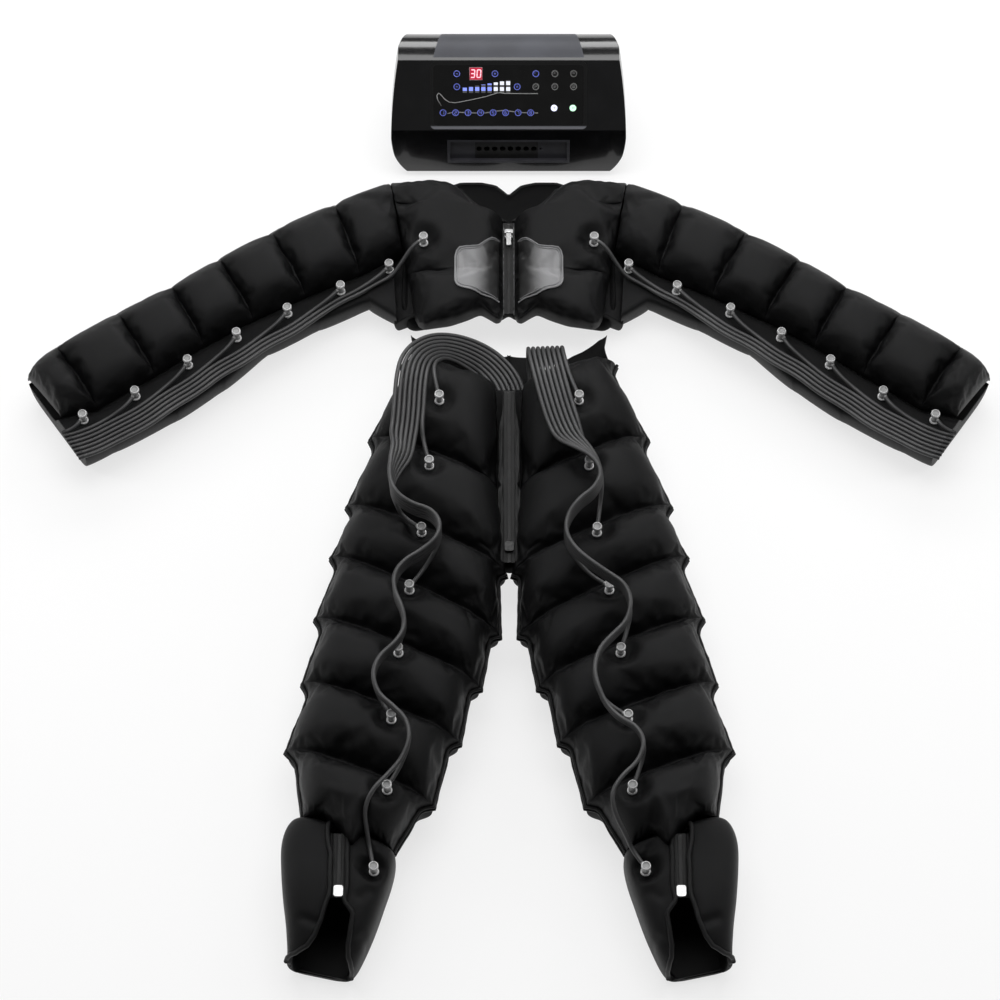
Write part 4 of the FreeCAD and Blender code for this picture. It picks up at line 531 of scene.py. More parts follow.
def finishes():
    """Every material of the suit by name, made at the first call."""
    if FINISH_PREFIX + "suit_nylon" not in bpy.data.materials:
        cloth, hoses, console = look("garment"), look("hoses"), look("console")
        nylon("suit_nylon", cloth.cloth, 0.46, 0.5)
        nylon("lining_nylon", cloth.lining, 0.62, 0.7, 0.12)
        nylon("piping_nylon", cloth.piping, 0.36, 0.3)
        nylon("welt_grey", (0.24, 0.24, 0.245), 0.4, 0.3)
        tape_cloth()
        hose_rubber()
        moulded("fitting_pale", tint(hoses.fitting, 0.9), tint(hoses.fitting, 1.2), 0.32)
        moulded("fitting_grey", tint(hoses.fitting, 0.36), tint(hoses.fitting, 0.5), 0.4)
        moulded("end_black", tint(hoses.end, 0.75), tint(hoses.end, 1.3), 0.45)
        moulded("rubber_black", grey(0.008), grey(0.016), 0.62, 500.0, 0.0001)
        moulded("socket_black", grey(0.0015), grey(0.003), 0.55)
        moulded("outlet_grey", tint((0.022, 0.022, 0.027)), tint((0.032, 0.032, 0.038)), 0.42)
        moulded("key_cap", grey(0.004), grey(0.008), 0.22)
        moulded("housing_plastic", grey(0.5), grey(0.6), 0.45)
        moulded("coil_black", grey(0.01), grey(0.03), 0.35)
        moulded("print_grey", grey(0.30), grey(0.38), 0.5)
        polished_metal("slider_chrome", grey(0.34), grey(0.55), 0.26)
        polished_metal("slider_dark", grey(0.02), grey(0.045), 0.3)
        polished_metal("screw_steel", grey(0.42), grey(0.6), 0.28)
        polished_metal("pump_metal", grey(0.35), grey(0.5), 0.42)
        case_gloss()
        band_satin()
        bezel_satin()
        panel_glass()
        level_light()
        chest_patch()
        circuit_board()
        clear_tube()
        lit("display_red", console.display, 0.35)
        lit("digit_pink", (1.0, 0.55, 0.62), 1.1)
        lit("print_blue", console.blue, 0.6)
        lit("print_white", (0.80, 0.82, 1.0), 1.0)
        lit("print_green", (0.62, 0.95, 0.72), 1.0)
    return {name.removeprefix(FINISH_PREFIX): made for name, made in bpy.data.materials.items()
            if name.startswith(FINISH_PREFIX)}


# Mesh helpers

def unit(vectors):
    vectors = np.asarray(vectors, float)
    return vectors / np.linalg.norm(vectors, axis=-1, keepdims=True)


def blend_of(first, second, share):
    return first + (second - first) * share


def smooth_step(value, low, high):
    share = np.clip((value - low) / (high - low), 0, 1)
    return share * share * (3 - 2 * share)


def add_piece(name, points, faces, *materials):
    """A smooth mesh object with its points in the row frame."""
    mesh = bpy.data.meshes.new(name)
    mesh.from_pydata([tuple(p) for p in points], [], [tuple(int(i) for i in f) for f in faces])
    mesh.update()
    mesh.shade_smooth()
    piece = bpy.data.objects.new(name, mesh)
    bpy.context.scene.collection.objects.link(piece)
    for material in materials:
        mesh.materials.append(finishes()[material])
    return piece


def quads(index):
    """Faces between the rows and columns of an array of point numbers."""
    corners = (index[:-1, :-1], index[1:, :-1], index[1:, 1:], index[:-1, 1:])
    return np.stack(corners, -1).reshape(-1, 4).tolist()


def closed_form(upper, lower):
    """Points and faces of a closed form whose two sides share the border of the upper one."""
    rows, columns = upper.shape[:2]
    index = np.arange(rows * columns).reshape(rows, columns)
    under = index.copy()
    inner = np.arange((rows - 2) * (columns - 2)).reshape(rows - 2, columns - 2)
    under[1:-1, 1:-1] = rows * columns + inner
    points = np.concatenate([upper.reshape(-1, 3), lower[1:-1, 1:-1].reshape(-1, 3)])
    return points, quads(index) + quads(under[:, ::-1])


def lifted(plan, level):
    """Points of a plan at one level, or each at a level of its own."""
    return np.concatenate([plan, np.broadcast_to(level, plan.shape[:2])[..., None]], axis=2)


def tube_parts(line, radius, sides=10):
    """Points and faces of a round tube along a line, closed at its ends."""
    line = np.asarray(line, float)
    ahead = unit(np.gradient(line, axis=0))
    side = unit(np.cross(ahead, (0.0, 0.0, 1.0)) + 1e-9)
    up = np.cross(side, ahead)
    turn = np.linspace(0, 2 * np.pi, sides, endpoint=False)
    ring = np.cos(turn)[None, :, None] * side[:, None] + np.sin(turn)[None, :, None] * up[:, None]
    points = (line[:, None] + ring * radius).reshape(-1, 3)
    index = np.arange(len(points)).reshape(len(line), sides)
    faces = quads(np.concatenate([index, index[:, :1]], axis=1))
    return points, faces + [index[0][::-1].tolist(), index[-1].tolist()]


def joined(parts):
    """One set of points and faces from several."""
    points, faces, first = [], [], 0
    for some_points, some_faces in parts:
        points.append(np.asarray(some_points, float))
        faces += [[i + first for i in f] for f in some_faces]
        first += len(some_points)
    return np.concatenate(points), faces


def points_of(mesh):
    flat = np.zeros(len(mesh.vertices) * 3)
    mesh.vertices.foreach_get("co", flat)
    return flat.reshape(-1, 3)


def set_points(mesh, points):
    mesh.vertices.foreach_set("co", np.asarray(points, float).ravel())
    mesh.update()


def subdivided(piece, levels=1):
    smooth = piece.modifiers.new("smooth", "SUBSURF")
    smooth.levels = smooth.render_levels = levels
    return piece


def thickened(piece, thickness, offset):
    wall = piece.modifiers.new("thickness", "SOLIDIFY")
    wall.thickness = thickness
    wall.offset = offset
    return piece


def twin_of(piece):
    """The same piece on the other side of the middle."""
    mesh = piece.data.copy()
    mesh.transform(Matrix.Diagonal((-1.0, 1.0, 1.0, 1.0)))
    mesh.flip_normals()
    twin = bpy.data.objects.new(piece.name.replace("left", "right"), mesh)
    bpy.context.scene.collection.objects.link(twin)
    return twin


def settle(piece, slot, *nodes, body=BODY):
    """Put a piece on its body and hide the CAD nodes that it stands for."""
    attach(piece, body)
    if nodes:
        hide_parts(*nodes)
    return piece


def settle_pair(piece, slot, node=None, levels=0):
    """Settle a left piece and its twin on the right."""
    for each in (piece, twin_of(piece)):
        if levels:
            subdivided(each, levels)
        side = each.name.split("_")[0]
        settle(each, slot, *([node.replace("left", side)] if node else []))


def wobble(points, scale, seed):
    """Smooth noise from -1 to 1 at each point."""
    return np.array([noise.noise(Vector((p[0] * scale, p[1] * scale, seed))) for p in points])


CLOTH_SLACK = 0.04
CLOTH_QUALITY = 5
CLOTH_MASS = 0.2
CLOTH_STIFFNESS = 12.0
CLOTH_BENDING = 0.3


def swell(piece, held, cap):
    """Blow up the free cloth of a padded form; no point moves further than cap."""
    before = points_of(piece.data)
    group = piece.vertex_groups.new(name="held")
    group.add([int(i) for i in np.flatnonzero(held)], 1.0, "REPLACE")
    cloth = piece.modifiers.new("swell", "CLOTH")
    rules = cloth.settings
    rules.quality = CLOTH_QUALITY
    rules.mass = CLOTH_MASS
    rules.tension_stiffness = CLOTH_STIFFNESS
    rules.compression_stiffness = CLOTH_STIFFNESS
    rules.shear_stiffness = CLOTH_STIFFNESS
    rules.bending_stiffness = CLOTH_BENDING
    rules.use_pressure = True
    rules.uniform_pressure_force = look("garment").pressure
    rules.shrink_min = -CLOTH_SLACK
    rules.vertex_group_mass = "held"
    rules.effector_weights.gravity = 0.0
    cloth.collision_settings.use_collision = False
    cloth.point_cache.frame_start = 1
    frames = look("garment").frames
    cloth.point_cache.frame_end = frames
    scene = bpy.context.scene
    for number in range(1, frames + 1):
        scene.frame_set(number)
    blown = bpy.data.meshes.new_from_object(piece.evaluated_get(bpy.context.evaluated_depsgraph_get()))
    moved = points_of(blown) - before
    reach = np.linalg.norm(moved, axis=1, keepdims=True)
    if not np.isfinite(reach).all():
        raise RuntimeError("the cloth of %s flew apart" % piece.name)
    piece.modifiers.remove(cloth)
    piece.vertex_groups.clear()
    set_points(piece.data, before + moved * np.minimum(1.0, cap / np.maximum(reach, 1e-9)))
    bpy.data.meshes.remove(blown)
    scene.frame_set(1)


# Quilted layers

def crowded(count):
    """Shares from 0 to 1, closer together near both ends."""
    even = np.linspace(0, 1, count)
    return even - CROWDING * np.sin(2 * np.pi * even) / (2 * np.pi)


def arched(share, power, root):
    return (1 - np.abs(2 * share - 1) ** power) ** root


class Layer:
    """A quilted layer in plan: rows run from seam to seam, columns from one edge to the other."""

    def __init__(self, seams, columns, draw, bow=0.0, sewn=0):
        self.across = crowded(columns)
        shares = crowded(CHAMBER_ROWS + 1)
        plan, along, seam = [], [], []
        for number, (first, second) in enumerate(zip(seams, seams[1:])):
            last = number == len(seams) - 2
            for share in shares if last else shares[:-1]:
                outer = blend_of(first[0], second[0], share)
                inner = blend_of(first[1], second[1], share)
                inward = unit(inner - outer) * draw * np.interp(share, NOTCH_AT, NOTCH_SHARES)
                drawn = inward * (0.0 if number < sewn else 1.0)
                lean = bow * 4 * share * (1 - share) * (number == 0)
                inner = inner - unit(inner - outer) * lean
                plan.append(blend_of(outer + inward, inner - drawn, self.across[:, None]))
                along.append(share)
                seam.append(number)
        self.plan = np.array(plan)
        self.along = np.array(along)
        self.seam = np.array(seam)
        self.count = len(seams)

    def nearness(self, number, reach):
        """1 on a seam's row, falling softly to 0 at a reach of so many chambers from it."""
        return 1 - smooth_step(np.abs(self.seam + self.along - number), 0, reach)

    def bend(self, number, profile, reach=0.5):
        """Shift the rows near a seam up or down the garment, by a profile across it."""
        self.plan[:, :, 1] += self.nearness(number, reach)[:, None] * np.interp(self.across, *zip(*profile))

    def nearer_seam(self):
        """Number of the seam that each row is nearer to."""
        return self.seam + (self.along > 0.5)

    def seam_depth(self, depths):
        """How deep the nearer seam cuts at each point."""
        depth = np.array([np.interp(self.across, *zip(*depths[n])) for n in range(self.count)])
        return depth[self.nearer_seam()]

    def fullness(self, depths):
        """How full the chambers are at each point; depths give how deep each seam cuts across the layer."""
        cut = 1 - arched(self.along, ALONG_POWER, ALONG_ROOT)
        return 1 - self.seam_depth(depths) * cut[:, None]

    def raised(self, levels):
        return lifted(self.plan, levels)

    def held(self, depths):
        """Points held by the seams and edges of a closed form; its whole under side is held."""
        rows, columns = self.plan.shape[:2]
        on_seam = np.isclose(self.along, 0) | np.isclose(self.along, 1)
        held = on_seam[:, None] & (self.seam_depth(depths) > 0.5)
        held[:, [0, -1]] = True
        held[[0, -1]] = True
        return np.concatenate([held.ravel(), np.ones((rows - 2) * (columns - 2), bool)])

    def seam_distance(self):
        """Distance of each upper point from the nearest seam, as a share of its chamber."""
        near = np.minimum(self.along, 1 - self.along)
        return np.repeat(near, len(self.across))


PUCKER_ROW_STEP = 0.37


def puckered(piece, layer, seed, fade=0.10, scale=95.0):
    """Small gathers that run out from the seams of a layer's upper side."""
    points = points_of(piece.data)
    count = layer.plan.shape[0] * layer.plan.shape[1]
    upper = points[:count]
    near = np.exp(-layer.seam_distance() / fade)
    rows = np.repeat(layer.nearer_seam(), layer.plan.shape[1])
    lines = np.stack([upper[:, 0], rows * PUCKER_ROW_STEP], axis=1)
    edge = np.tile(arched(layer.across, 6.0, 1.0), layer.plan.shape[0])
    upper[:, 2] += wobble(lines, scale, seed) * near * look("garment").pucker * edge
    points[:count] = upper
    set_points(piece.data, points)


SEAT_MARGIN = 0.004
SEAT_LIFT = 0.0006


def dimpled(piece, seats, reach=0.030):
    """Press the cloth down to each fitting's seat."""
    points = points_of(piece.data)
    for seat in seats:
        away = np.linalg.norm(points[:, :2] - seat[:2], axis=1)
        share = 1 - smooth_step(away, SEAT_RADIUS, reach)
        above = points[:, 2] > seat[2] - SEAT_MARGIN
        points[:, 2] -= np.where(above, (points[:, 2] - seat[2] + SEAT_LIFT) * share, 0)
    set_points(piece.data, points)


HOSE_COUNT = 8
BED_SINK = HOSE_DIAMETER * 0.6
BED_REACH = HOSE_DIAMETER * 1.6
BED_DEPTH = 0.03


def pressed(piece, *bundles):
    """Press the cloth down under the hoses that lie on it, from both sides of the middle."""
    names = ["%s_hose_%d" % (name, number + 1) for name in bundles for number in range(HOSE_COUNT)]
    places = np.concatenate([line_points(bpy.data.objects[name]) for name in names])
    places[:, 0] = -np.abs(places[:, 0])
    tree = KDTree(len(places))
    for number, place in enumerate(places):
        tree.insert((place[0], place[1], 0.0), number)
    tree.balance()
    points = points_of(piece.data)
    for point in points:
        number, away = tree.find((point[0], point[1], 0.0))[1:]
        top = places[number][2] - BED_SINK + away * away / HOSE_DIAMETER
        if away < BED_REACH and top < point[2] < top + BED_DEPTH:
            point[2] = top
    set_points(piece.data, points)


# Places in the trousers and the jacket

def leg_place(shares):
    return np.array((-shares[0] * LEG_SPREAD, TOE + shares[1] * TROUSER_LENGTH))


def jacket_place(shares):
    return np.array((-shares[0] * JACKET_REACH, HEM + shares[1] * JACKET_DEPTH))


def leg_seams(waist_half):
    seams = []
    for number, (outer, inner) in enumerate(zip(OUTER_TIP_SHARES, INNER_TIP_SHARES)):
        tip = leg_place(inner)
        if number < WAIST_SEAMS:
            tip[0] = -waist_half
        seams.append((leg_place(outer), tip))
    return seams


def sleeve_seams():
    return [(jacket_place(top), jacket_place(low))
            for top, low in zip(SLEEVE_TOP_SHARES, SLEEVE_LOW_SHARES)]


def chest_seams(zip_half=ZIP_HALF):
    shoulder = sleeve_seams()[0]
    seams = []
    for share, inner in zip(CHEST_OUTER_SHARES, CHEST_INNER_SHARES):
        outer = blend_of(shoulder[0], shoulder[1], share)
        tip = jacket_place(inner)
        tip[0] = min(tip[0], -zip_half)
        seams.append((outer, tip))
    return seams


SEAT_SPAN = 0.3
SEAT_FALL = 0.16
SEAT_POWER = 2.5


def chamber_seat(first, second, shares, level, seam_rise, crown_rise):
    """Seat of a fitting that is sunk into a chamber."""
    along, across = shares
    plan = blend_of(blend_of(first[0], second[0], along), blend_of(first[1], second[1], along), across)
    fall = ((across - 0.5) / SEAT_SPAN) ** 2 * SEAT_FALL
    swollen = 1 - abs(2 * along - 1) ** SEAT_POWER
    return np.array((*plan, level + blend_of(seam_rise, crown_rise, swollen) * (1 - fall) - SEAT_SINK))


def boot_seams():
    return [(leg_place(outer), leg_place(inner))
            for outer, inner in zip(BOOT_OUTER_SHARES, BOOT_INNER_SHARES)]


def boot_zip_ends():
    return [np.array((*leg_place(shares), level))
            for shares, level in zip(BOOT_ZIP_SHARES, BOOT_ZIP_LEVELS)]


def leg_seats():
    seams = leg_seams(FLY_HALF)
    seats = [chamber_seat(seams[n], seams[n + 1], shares, LEG_TOP, LEG_SEAM_RISE, LEG_CROWN_RISE)
             for n, shares in enumerate(LEG_SEAT_SHARES)]
    outer, inner = boot_seams()[1]
    boot = blend_of(outer, inner, BOOT_SEAT_SHARE)
    return seats + [np.array((*boot, BOOT_HEIGHTS[1] - BOOT_SEAT_DEPTH))]


def sleeve_seats():
    """Seats on the hose bed from cuff to shoulder, then the one on the chest."""
    seams = sleeve_seams()
    seats = []
    for first, second in zip(seams[-2::-1], seams[:0:-1]):
        along = unit(second[1] - first[1])
        outward = np.array((-along[1], along[0])) * BED_SEAT_STEP
        seats.append(np.array((*(blend_of(first[1], second[1], BED_SEAT_SHARE) + outward), JACKET_TOP)))
    chest = chest_seams()
    seats.append(chamber_seat(chest[1], chest[2], CHEST_SEAT_SHARES, JACKET_TOP, CHEST_SEAM_RISE,
                              CHEST_CROWN_RISE))
    return seats


def mirrored(points):
    return [np.array((-p[0], *p[1:])) for p in points]


# Hoses

def travel(route, number):
    before = route[max(number - 1, 0)]
    after = route[min(number + 1, len(route) - 1)]
    return unit((after[0] - before[0], after[1] - before[1], 0.0))


def lane_point(route, number, lane):
    """Place of one lane of a flat bundle at a point of its route."""
    x, y, z, twist, first = route[number]
    ahead = travel(route, number)
    side = np.array((ahead[1], -ahead[0], 0.0)) * math.cos(math.radians(twist))
    spread = side + (0.0, 0.0, math.sin(math.radians(twist)))
    return np.array((x, y, z)) + spread * HOSE_PITCH * (lane - first)


def hose_route(route, leave, lane, seat, approach, curl, stagger):
    """Control points of one hose, from its first end to the barb of its fitting."""
    points = [lane_point(route, number, lane) for number in range(leave + 1)]
    points[0] = points[0] + travel(route, 0) * stagger * lane
    ahead = travel(route, leave)
    chord = unit((seat[0] - points[-1][0], seat[1] - points[-1][1], 0.0))
    heading = unit(blend_of(-chord, ahead - chord * (2 * chord @ ahead), curl))
    tip = seat + heading * BARB_REACH + (0.0, 0.0, FLANGE_HEIGHT + NECK_HEIGHT - BARB_DROP)
    return points + [tip + heading * approach, tip]


def suit_routes():
    """The four bundles: name, control points of each hose, and seats of their fittings."""
    legs, arms = leg_seats(), sleeve_seats()
    plans = (("left_leg", LEFT_LEG_ROUTE, LEFT_LEG_LEAVES, legs, LEG_APPROACH, LEG_CURL, 0.0),
             ("right_leg", RIGHT_LEG_ROUTE, RIGHT_LEG_LEAVES, mirrored(legs), LEG_APPROACH, LEG_CURL, 0.0),
             ("left_sleeve", SLEEVE_ROUTE, SLEEVE_LEAVES, arms, SLEEVE_APPROACH, SLEEVE_CURL, CUFF_STAGGER))
    bundles = []
    for name, route, leaves, seats, approach, curl, stagger in plans:
        hoses = [hose_route(route, leave, lane, seat, approach, curl, stagger)
                 for lane, (leave, seat) in enumerate(zip(leaves, seats))]
        bundles.append((name, hoses, seats))
    name, hoses, seats = bundles[-1]
    bundles.append(("right_sleeve", [mirrored(points) for points in hoses], mirrored(seats)))
    return bundles


def add_hose(name, points):
    curve = bpy.data.curves.new(name, "CURVE")
    curve.dimensions = "3D"
    spline = curve.splines.new("NURBS")
    spline.points.add(len(points) - 1)
    for control, point in zip(spline.points, points):
        control.co = (*point, 1.0)
    spline.order_u = 3
    spline.use_endpoint_u = True
    spline.resolution_u = 8
    curve.bevel_depth = HOSE_DIAMETER / 2
    curve.bevel_resolution = 3
    curve.use_fill_caps = True
    curve.materials.append(finishes()["hose_rubber"])
    hose = bpy.data.objects.new(name, curve)
    bpy.context.scene.collection.objects.link(hose)
    return hose


def line_points(hose):
    """Points along a hose's spline."""
    bare = bpy.data.objects.new("bare", hose.data.copy())
    bare.data.bevel_depth = 0.0
    mesh = bpy.data.meshes.new_from_object(bare)
    points = points_of(mesh)
    bpy.data.meshes.remove(mesh)
    bpy.data.curves.remove(bare.data)
    return points


PLUG_LENGTH = 0.016
PLUG_THICK = 0.013
PLUG_MARGIN = 0.003
PLUG_COLLAR = (-0.001, 0.002)
BAR_SIDES = 24
BAR_SQUARE = 0.35
PLUG_COLLAR_RADIUS = HOSE_DIAMETER * 0.56
FERRULE_LENGTH = 0.009
FERRULE_RINGS = 13
FERRULE_GROOVE = 0.90
END_SIDES = 14
BAR_RINGS = ((0, 1), (0.06, 0.3), (0.14, 0), (0.5, 0), (0.86, 0), (0.94, 0.3), (1, 1))


def rounded_bar(middle, ahead, side, up, size, corner):
    """A bar with rounded long edges: rings along its length that draw in at both ends."""
    long, wide, thick = size
    turns = np.linspace(0, 2 * np.pi, BAR_SIDES, endpoint=False)
    squared = np.stack([np.sign(np.cos(turns)) * np.abs(np.cos(turns)) ** BAR_SQUARE,
                        np.sign(np.sin(turns)) * np.abs(np.sin(turns)) ** BAR_SQUARE], axis=1)
    rings = []
    for at, share in BAR_RINGS:
        drawn = share * corner
        across = squared[:, :1] * (wide / 2 - drawn) * side + squared[:, 1:] * (thick / 2 - drawn) * up
        rings.append(middle + ahead * (at - 0.5) * long + across)
    points = np.concatenate(rings)
    index = np.arange(len(points)).reshape(len(rings), len(turns))
    faces = quads(np.concatenate([index, index[:, :1]], axis=1))
    return points, faces + [index[0][::-1].tolist(), index[-1].tolist()]


def ferrule(start, ahead):
    """A ribbed end sleeve behind the first end of a hose."""
    at = np.linspace(0, 1, FERRULE_RINGS)
    line = start - ahead * FERRULE_LENGTH * at[:, None]
    points, faces = tube_parts(line, look("hoses").sleeve_radius, END_SIDES)
    rings = points.reshape(len(at), END_SIDES, 3)
    ribs = np.where(np.arange(len(at)) % 2, 1.0, FERRULE_GROOVE)[:, None, None]
    return ((rings - line[:, None]) * ribs + line[:, None]).reshape(-1, 3), faces


def bundle_end(name, hoses):
    """The plug of a leg's bundle, or the end sleeves of a sleeve's hoses."""
    starts = [np.array(points[0]) for points in hoses]
    heads = [unit(np.array(points[1]) - points[0]) for points in hoses]
    if "leg" in name:
        side = unit(starts[-1] - starts[0])
        ahead, up = heads[0], np.cross(side, heads[0])
        middle = (starts[0] + starts[-1]) / 2 - ahead * PLUG_LENGTH / 2
        wide = HOSE_PITCH * len(hoses) + PLUG_MARGIN
        shapes = [rounded_bar(middle, ahead, side, up, (PLUG_LENGTH, wide, PLUG_THICK), PLUG_MARGIN / 2)]
        for start, head in zip(starts, heads):
            line = [start + head * step for step in PLUG_COLLAR]
            shapes.append(tube_parts(line, PLUG_COLLAR_RADIUS, END_SIDES))
    else:
        shapes = [ferrule(start, head) for start, head in zip(starts, heads)]
    points, faces = joined(shapes)
    return settle(add_piece(name + "_hose_end", points, faces, "end_black"), "end_black", "hose_ends")


def make_hoses():
    for name, hoses, _ in suit_routes():
        end = bundle_end(name, hoses)
        for number, points in enumerate(hoses, 1):
            hose = add_hose("%s_hose_%d" % (name, number), points)
            settle(hose, "hose_rubber", name + "_hoses")
            length = float(np.linalg.norm(np.diff(line_points(hose), axis=0), axis=1).sum())


FITTING_PROFILE = ((0.0, 0.0), (0.0066, 0.0), (0.0072, 0.0006), (0.0072, 0.0022), (0.0066, 0.0030),
                   (0.0052, 0.0032), (0.0048, 0.0026), (0.0044, 0.0034), (0.0040, 0.0060),
                   (0.0042, 0.0105), (0.0044, 0.0150), (0.0052, 0.0164), (0.0062, 0.0168),
                   (0.0068, 0.0176), (0.0068, 0.0214), (0.0063, 0.0226), (0.0054, 0.0230),
                   (0.0048, 0.0228), (0.0045, 0.0222), (0.0020, 0.0221), (0.0, 0.0222))
FITTING_SIDES = 28
CENTRE_RINGS = 3
FLANGE_RINGS = (4, 6)


def fitting(seat, tip):
    """A spool shaped fitting turned about its axis, with a side barb towards its hose."""
    turns = np.linspace(0, 2 * np.pi, FITTING_SIDES, endpoint=False)
    rings = [[(r * math.cos(a), r * math.sin(a), h) for a in turns] for r, h in FITTING_PROFILE[1:-1]]
    points = np.array(rings).reshape(-1, 3)
    index = np.arange(len(points)).reshape(len(rings), FITTING_SIDES)
    faces = quads(np.concatenate([index, index[:, :1]], axis=1)[:, ::-1])
    faces += [index[0][::-1].tolist(), index[-1].tolist()]
    root = np.array((seat[0], seat[1], tip[2]))
    at = np.linspace(0, 1, 7)
    barb = tube_parts(root + (tip - root) * at[:, None], BARB_RADIUS, 12)
    return joined([(points + seat, faces), barb])


def make_fittings():
    parts = []
    for _, hoses, seats in suit_routes():
        for points, seat in zip(hoses, seats):
            parts.append(fitting(seat, points[-1]))
    points, faces = joined(parts)
    piece = add_piece("hose_fitting_set", points, faces, "fitting_pale", "fitting_grey")
    each = len(faces) // len(parts)
    rows = len(FITTING_PROFILE) - 3
    for polygon in piece.data.polygons:
        place = polygon.index % each
        ring = place // FITTING_SIDES
        inside_flange = FLANGE_RINGS[0] <= ring <= FLANGE_RINGS[1]
        inside_cap = rows - CENTRE_RINGS <= ring < rows or place == rows * FITTING_SIDES + 1
        polygon.material_index = 1 if inside_flange or inside_cap or place > rows * FITTING_SIDES + 1 else 0
    settle(piece, "fitting_grey", "hose_fittings")


# Trousers

LEG_SWELL = 0.007
FOLD_REACH = 0.3
FOLD_LIFT_REACH = 0.6
WAIST_REACH = 0.7
RIM_DROP = 0.004
LEG_BACK_FULL = 0.8
FLOOR_GAP = 0.0004
BINDING_RADIUS = 0.003
BINDING_INSET = 4
PIPING_LINES = ((0.0012, 0.003), (0.0024, -0.004))
PIPING_RUFFLE = 0.0012


def make_legs():
    layer = Layer(leg_seams(FLY_HALF), LEG_COLUMNS, LEG_DRAW, sewn=WAIST_SEAMS)
    ankle = layer.count - 1
    layer.bend(ankle, BOOT_FOLD, FOLD_REACH)
    depths = [FULL_DEPTH] * layer.count
    side = arched(layer.across, ACROSS_POWER, ACROSS_ROOT)
    rise = LEG_TOP - LEG_EDGE + blend_of(LEG_SEAM_RISE, LEG_CROWN_RISE, layer.fullness(depths))
    lift = layer.nearness(ankle, FOLD_LIFT_REACH)[:, None] * np.interp(layer.across, *zip(*FOLD_LIFT))
    upper = layer.raised(LEG_EDGE + rise * side + lift)
    lower = layer.raised(LEG_EDGE + (LEG_TOP - LEG_EDGE) * side + lift)
    front = add_piece("left_leg_front", *closed_form(upper, lower), "suit_nylon")
    swell(front, layer.held(depths), LEG_SWELL)
    puckered(front, layer, 3.1)
    dimpled(front, leg_seats()[:-1])
    pressed(front, "left_leg", "right_leg")
    settle_pair(front, "nylon_black", "left_leg", 1)
    make_leg_back()
    make_leg_tapes(layer)


def make_leg_back():
    """Back layer of a leg: its waist edge peaks at the hip and the middle, and sags between them."""
    seams = leg_seams(-BACK_LAP)
    seams[0] = tuple(leg_place(shares) for shares in BACK_WAIST_SHARES)
    seams[0][1][0] = BACK_LAP
    layer = Layer(seams, LEG_COLUMNS, LEG_DRAW, sewn=WAIST_SEAMS)
    layer.bend(0, WAIST_BEND, WAIST_REACH)
    depths = [FULL_DEPTH] * layer.count
    deep = arched(layer.across, TUB_POWER, 0.5)
    full = blend_of(LEG_BACK_FULL, 1.0, layer.fullness(depths))
    dip = layer.nearness(0, WAIST_REACH)[:, None] * np.interp(layer.across, *zip(*WAIST_DIP))
    rim = LEG_EDGE - RIM_DROP - dip
    hollow = rim - np.minimum(LEG_BACK, rim - RIM_DROP)
    upper = layer.raised(rim - hollow * arched(layer.across, 4.0, 0.7))
    lower = layer.raised(np.maximum(rim * (1 - full * deep), FLOOR_GAP))
    back = add_piece("left_leg_back", *closed_form(upper, lower), "lining_nylon")
    settle_pair(back, "nylon_black", "left_leg", 1)
    line = ((upper[0] + lower[0]) / 2)[BINDING_INSET:-BINDING_INSET]
    hem = add_piece("left_waist_binding", *tube_parts(line, BINDING_RADIUS, 12), "piping_nylon")
    settle_pair(hem, "nylon_black", "left_leg")


def make_leg_tapes(layer):
    """Two cords of piping along both edges of a leg."""
    shapes = []
    for column, ahead in ((0, 1), (-1, -2)):
        edge = layer.plan[:, column]
        outward = unit(edge - layer.plan[:, ahead])
        first = 0 if column == 0 else WAIST_SEAMS * CHAMBER_ROWS
        for step, rise in PIPING_LINES:
            ruffle = wobble(edge, 70.0, step * 1000) * PIPING_RUFFLE
            level = LEG_EDGE + rise + ruffle
            line = np.column_stack([edge + outward * (step + ruffle[:, None]), level])
            shapes.append(tube_parts(line[first:], look("garment").piping_radius, 10))
    piece = add_piece("left_leg_piping", *joined(shapes), "piping_nylon")
    settle_pair(piece, "zip_tape", "left_leg")


# Boots

BOOT_ROWS = 64
BOOT_SIDES = 60
BOOT_CREASES = (((-0.285, -0.716), (-0.258, -0.728), 0.005), ((-0.215, -0.752), (-0.200, -0.742), 0.004),
                ((-0.205, -0.690), (-0.190, -0.680), 0.003))
BOOT_WALL = 0.008
BOOT_FLOOR = 0.0006
BOOT_SQUARE = 0.62
BOOT_OVERLAP = 0.07
BOOT_TUCK = 0.022
BOOT_TUCK_END = 0.12
BOOT_WOBBLE = 0.0020
BOOT_WOBBLE_LEVEL = 0.004
BOOT_DIMPLE = 0.024
CREASE_WIDTH = 0.006
CREASE_LEVEL = 0.05
HEM_LIFT = 0.001
HEM_RADIUS = 0.0034
RIDGES = ((-0.0105, 0.0022), (0.0105, 0.0026), (0.0155, 0.0020))
RIDGE_LIFT = 0.0006
RIDGE_RUFFLE = 0.0012
INSOLE_ROWS = 30
INSOLE_COLUMNS = 16
INSOLE_BOTTOM = 0.006
INSOLE_EDGE = 0.0085
INSOLE_CROWN = 0.0045


def boot_frame(share):
    """Outer and inner place and height of a boot at a share of its length."""
    seams = np.array(boot_seams())
    at = np.linspace(0, 1, len(seams))
    fit = np.polyfit(at, np.column_stack([seams.reshape(len(at), 4), BOOT_HEIGHTS]), len(at) - 1)
    place = sum(row * share ** power for power, row in enumerate(fit[::-1]))
    tuck = BOOT_TUCK * (1 - smooth_step(share, -BOOT_OVERLAP, BOOT_TUCK_END))
    return place[:2], place[2:4], float(place[4] - tuck)


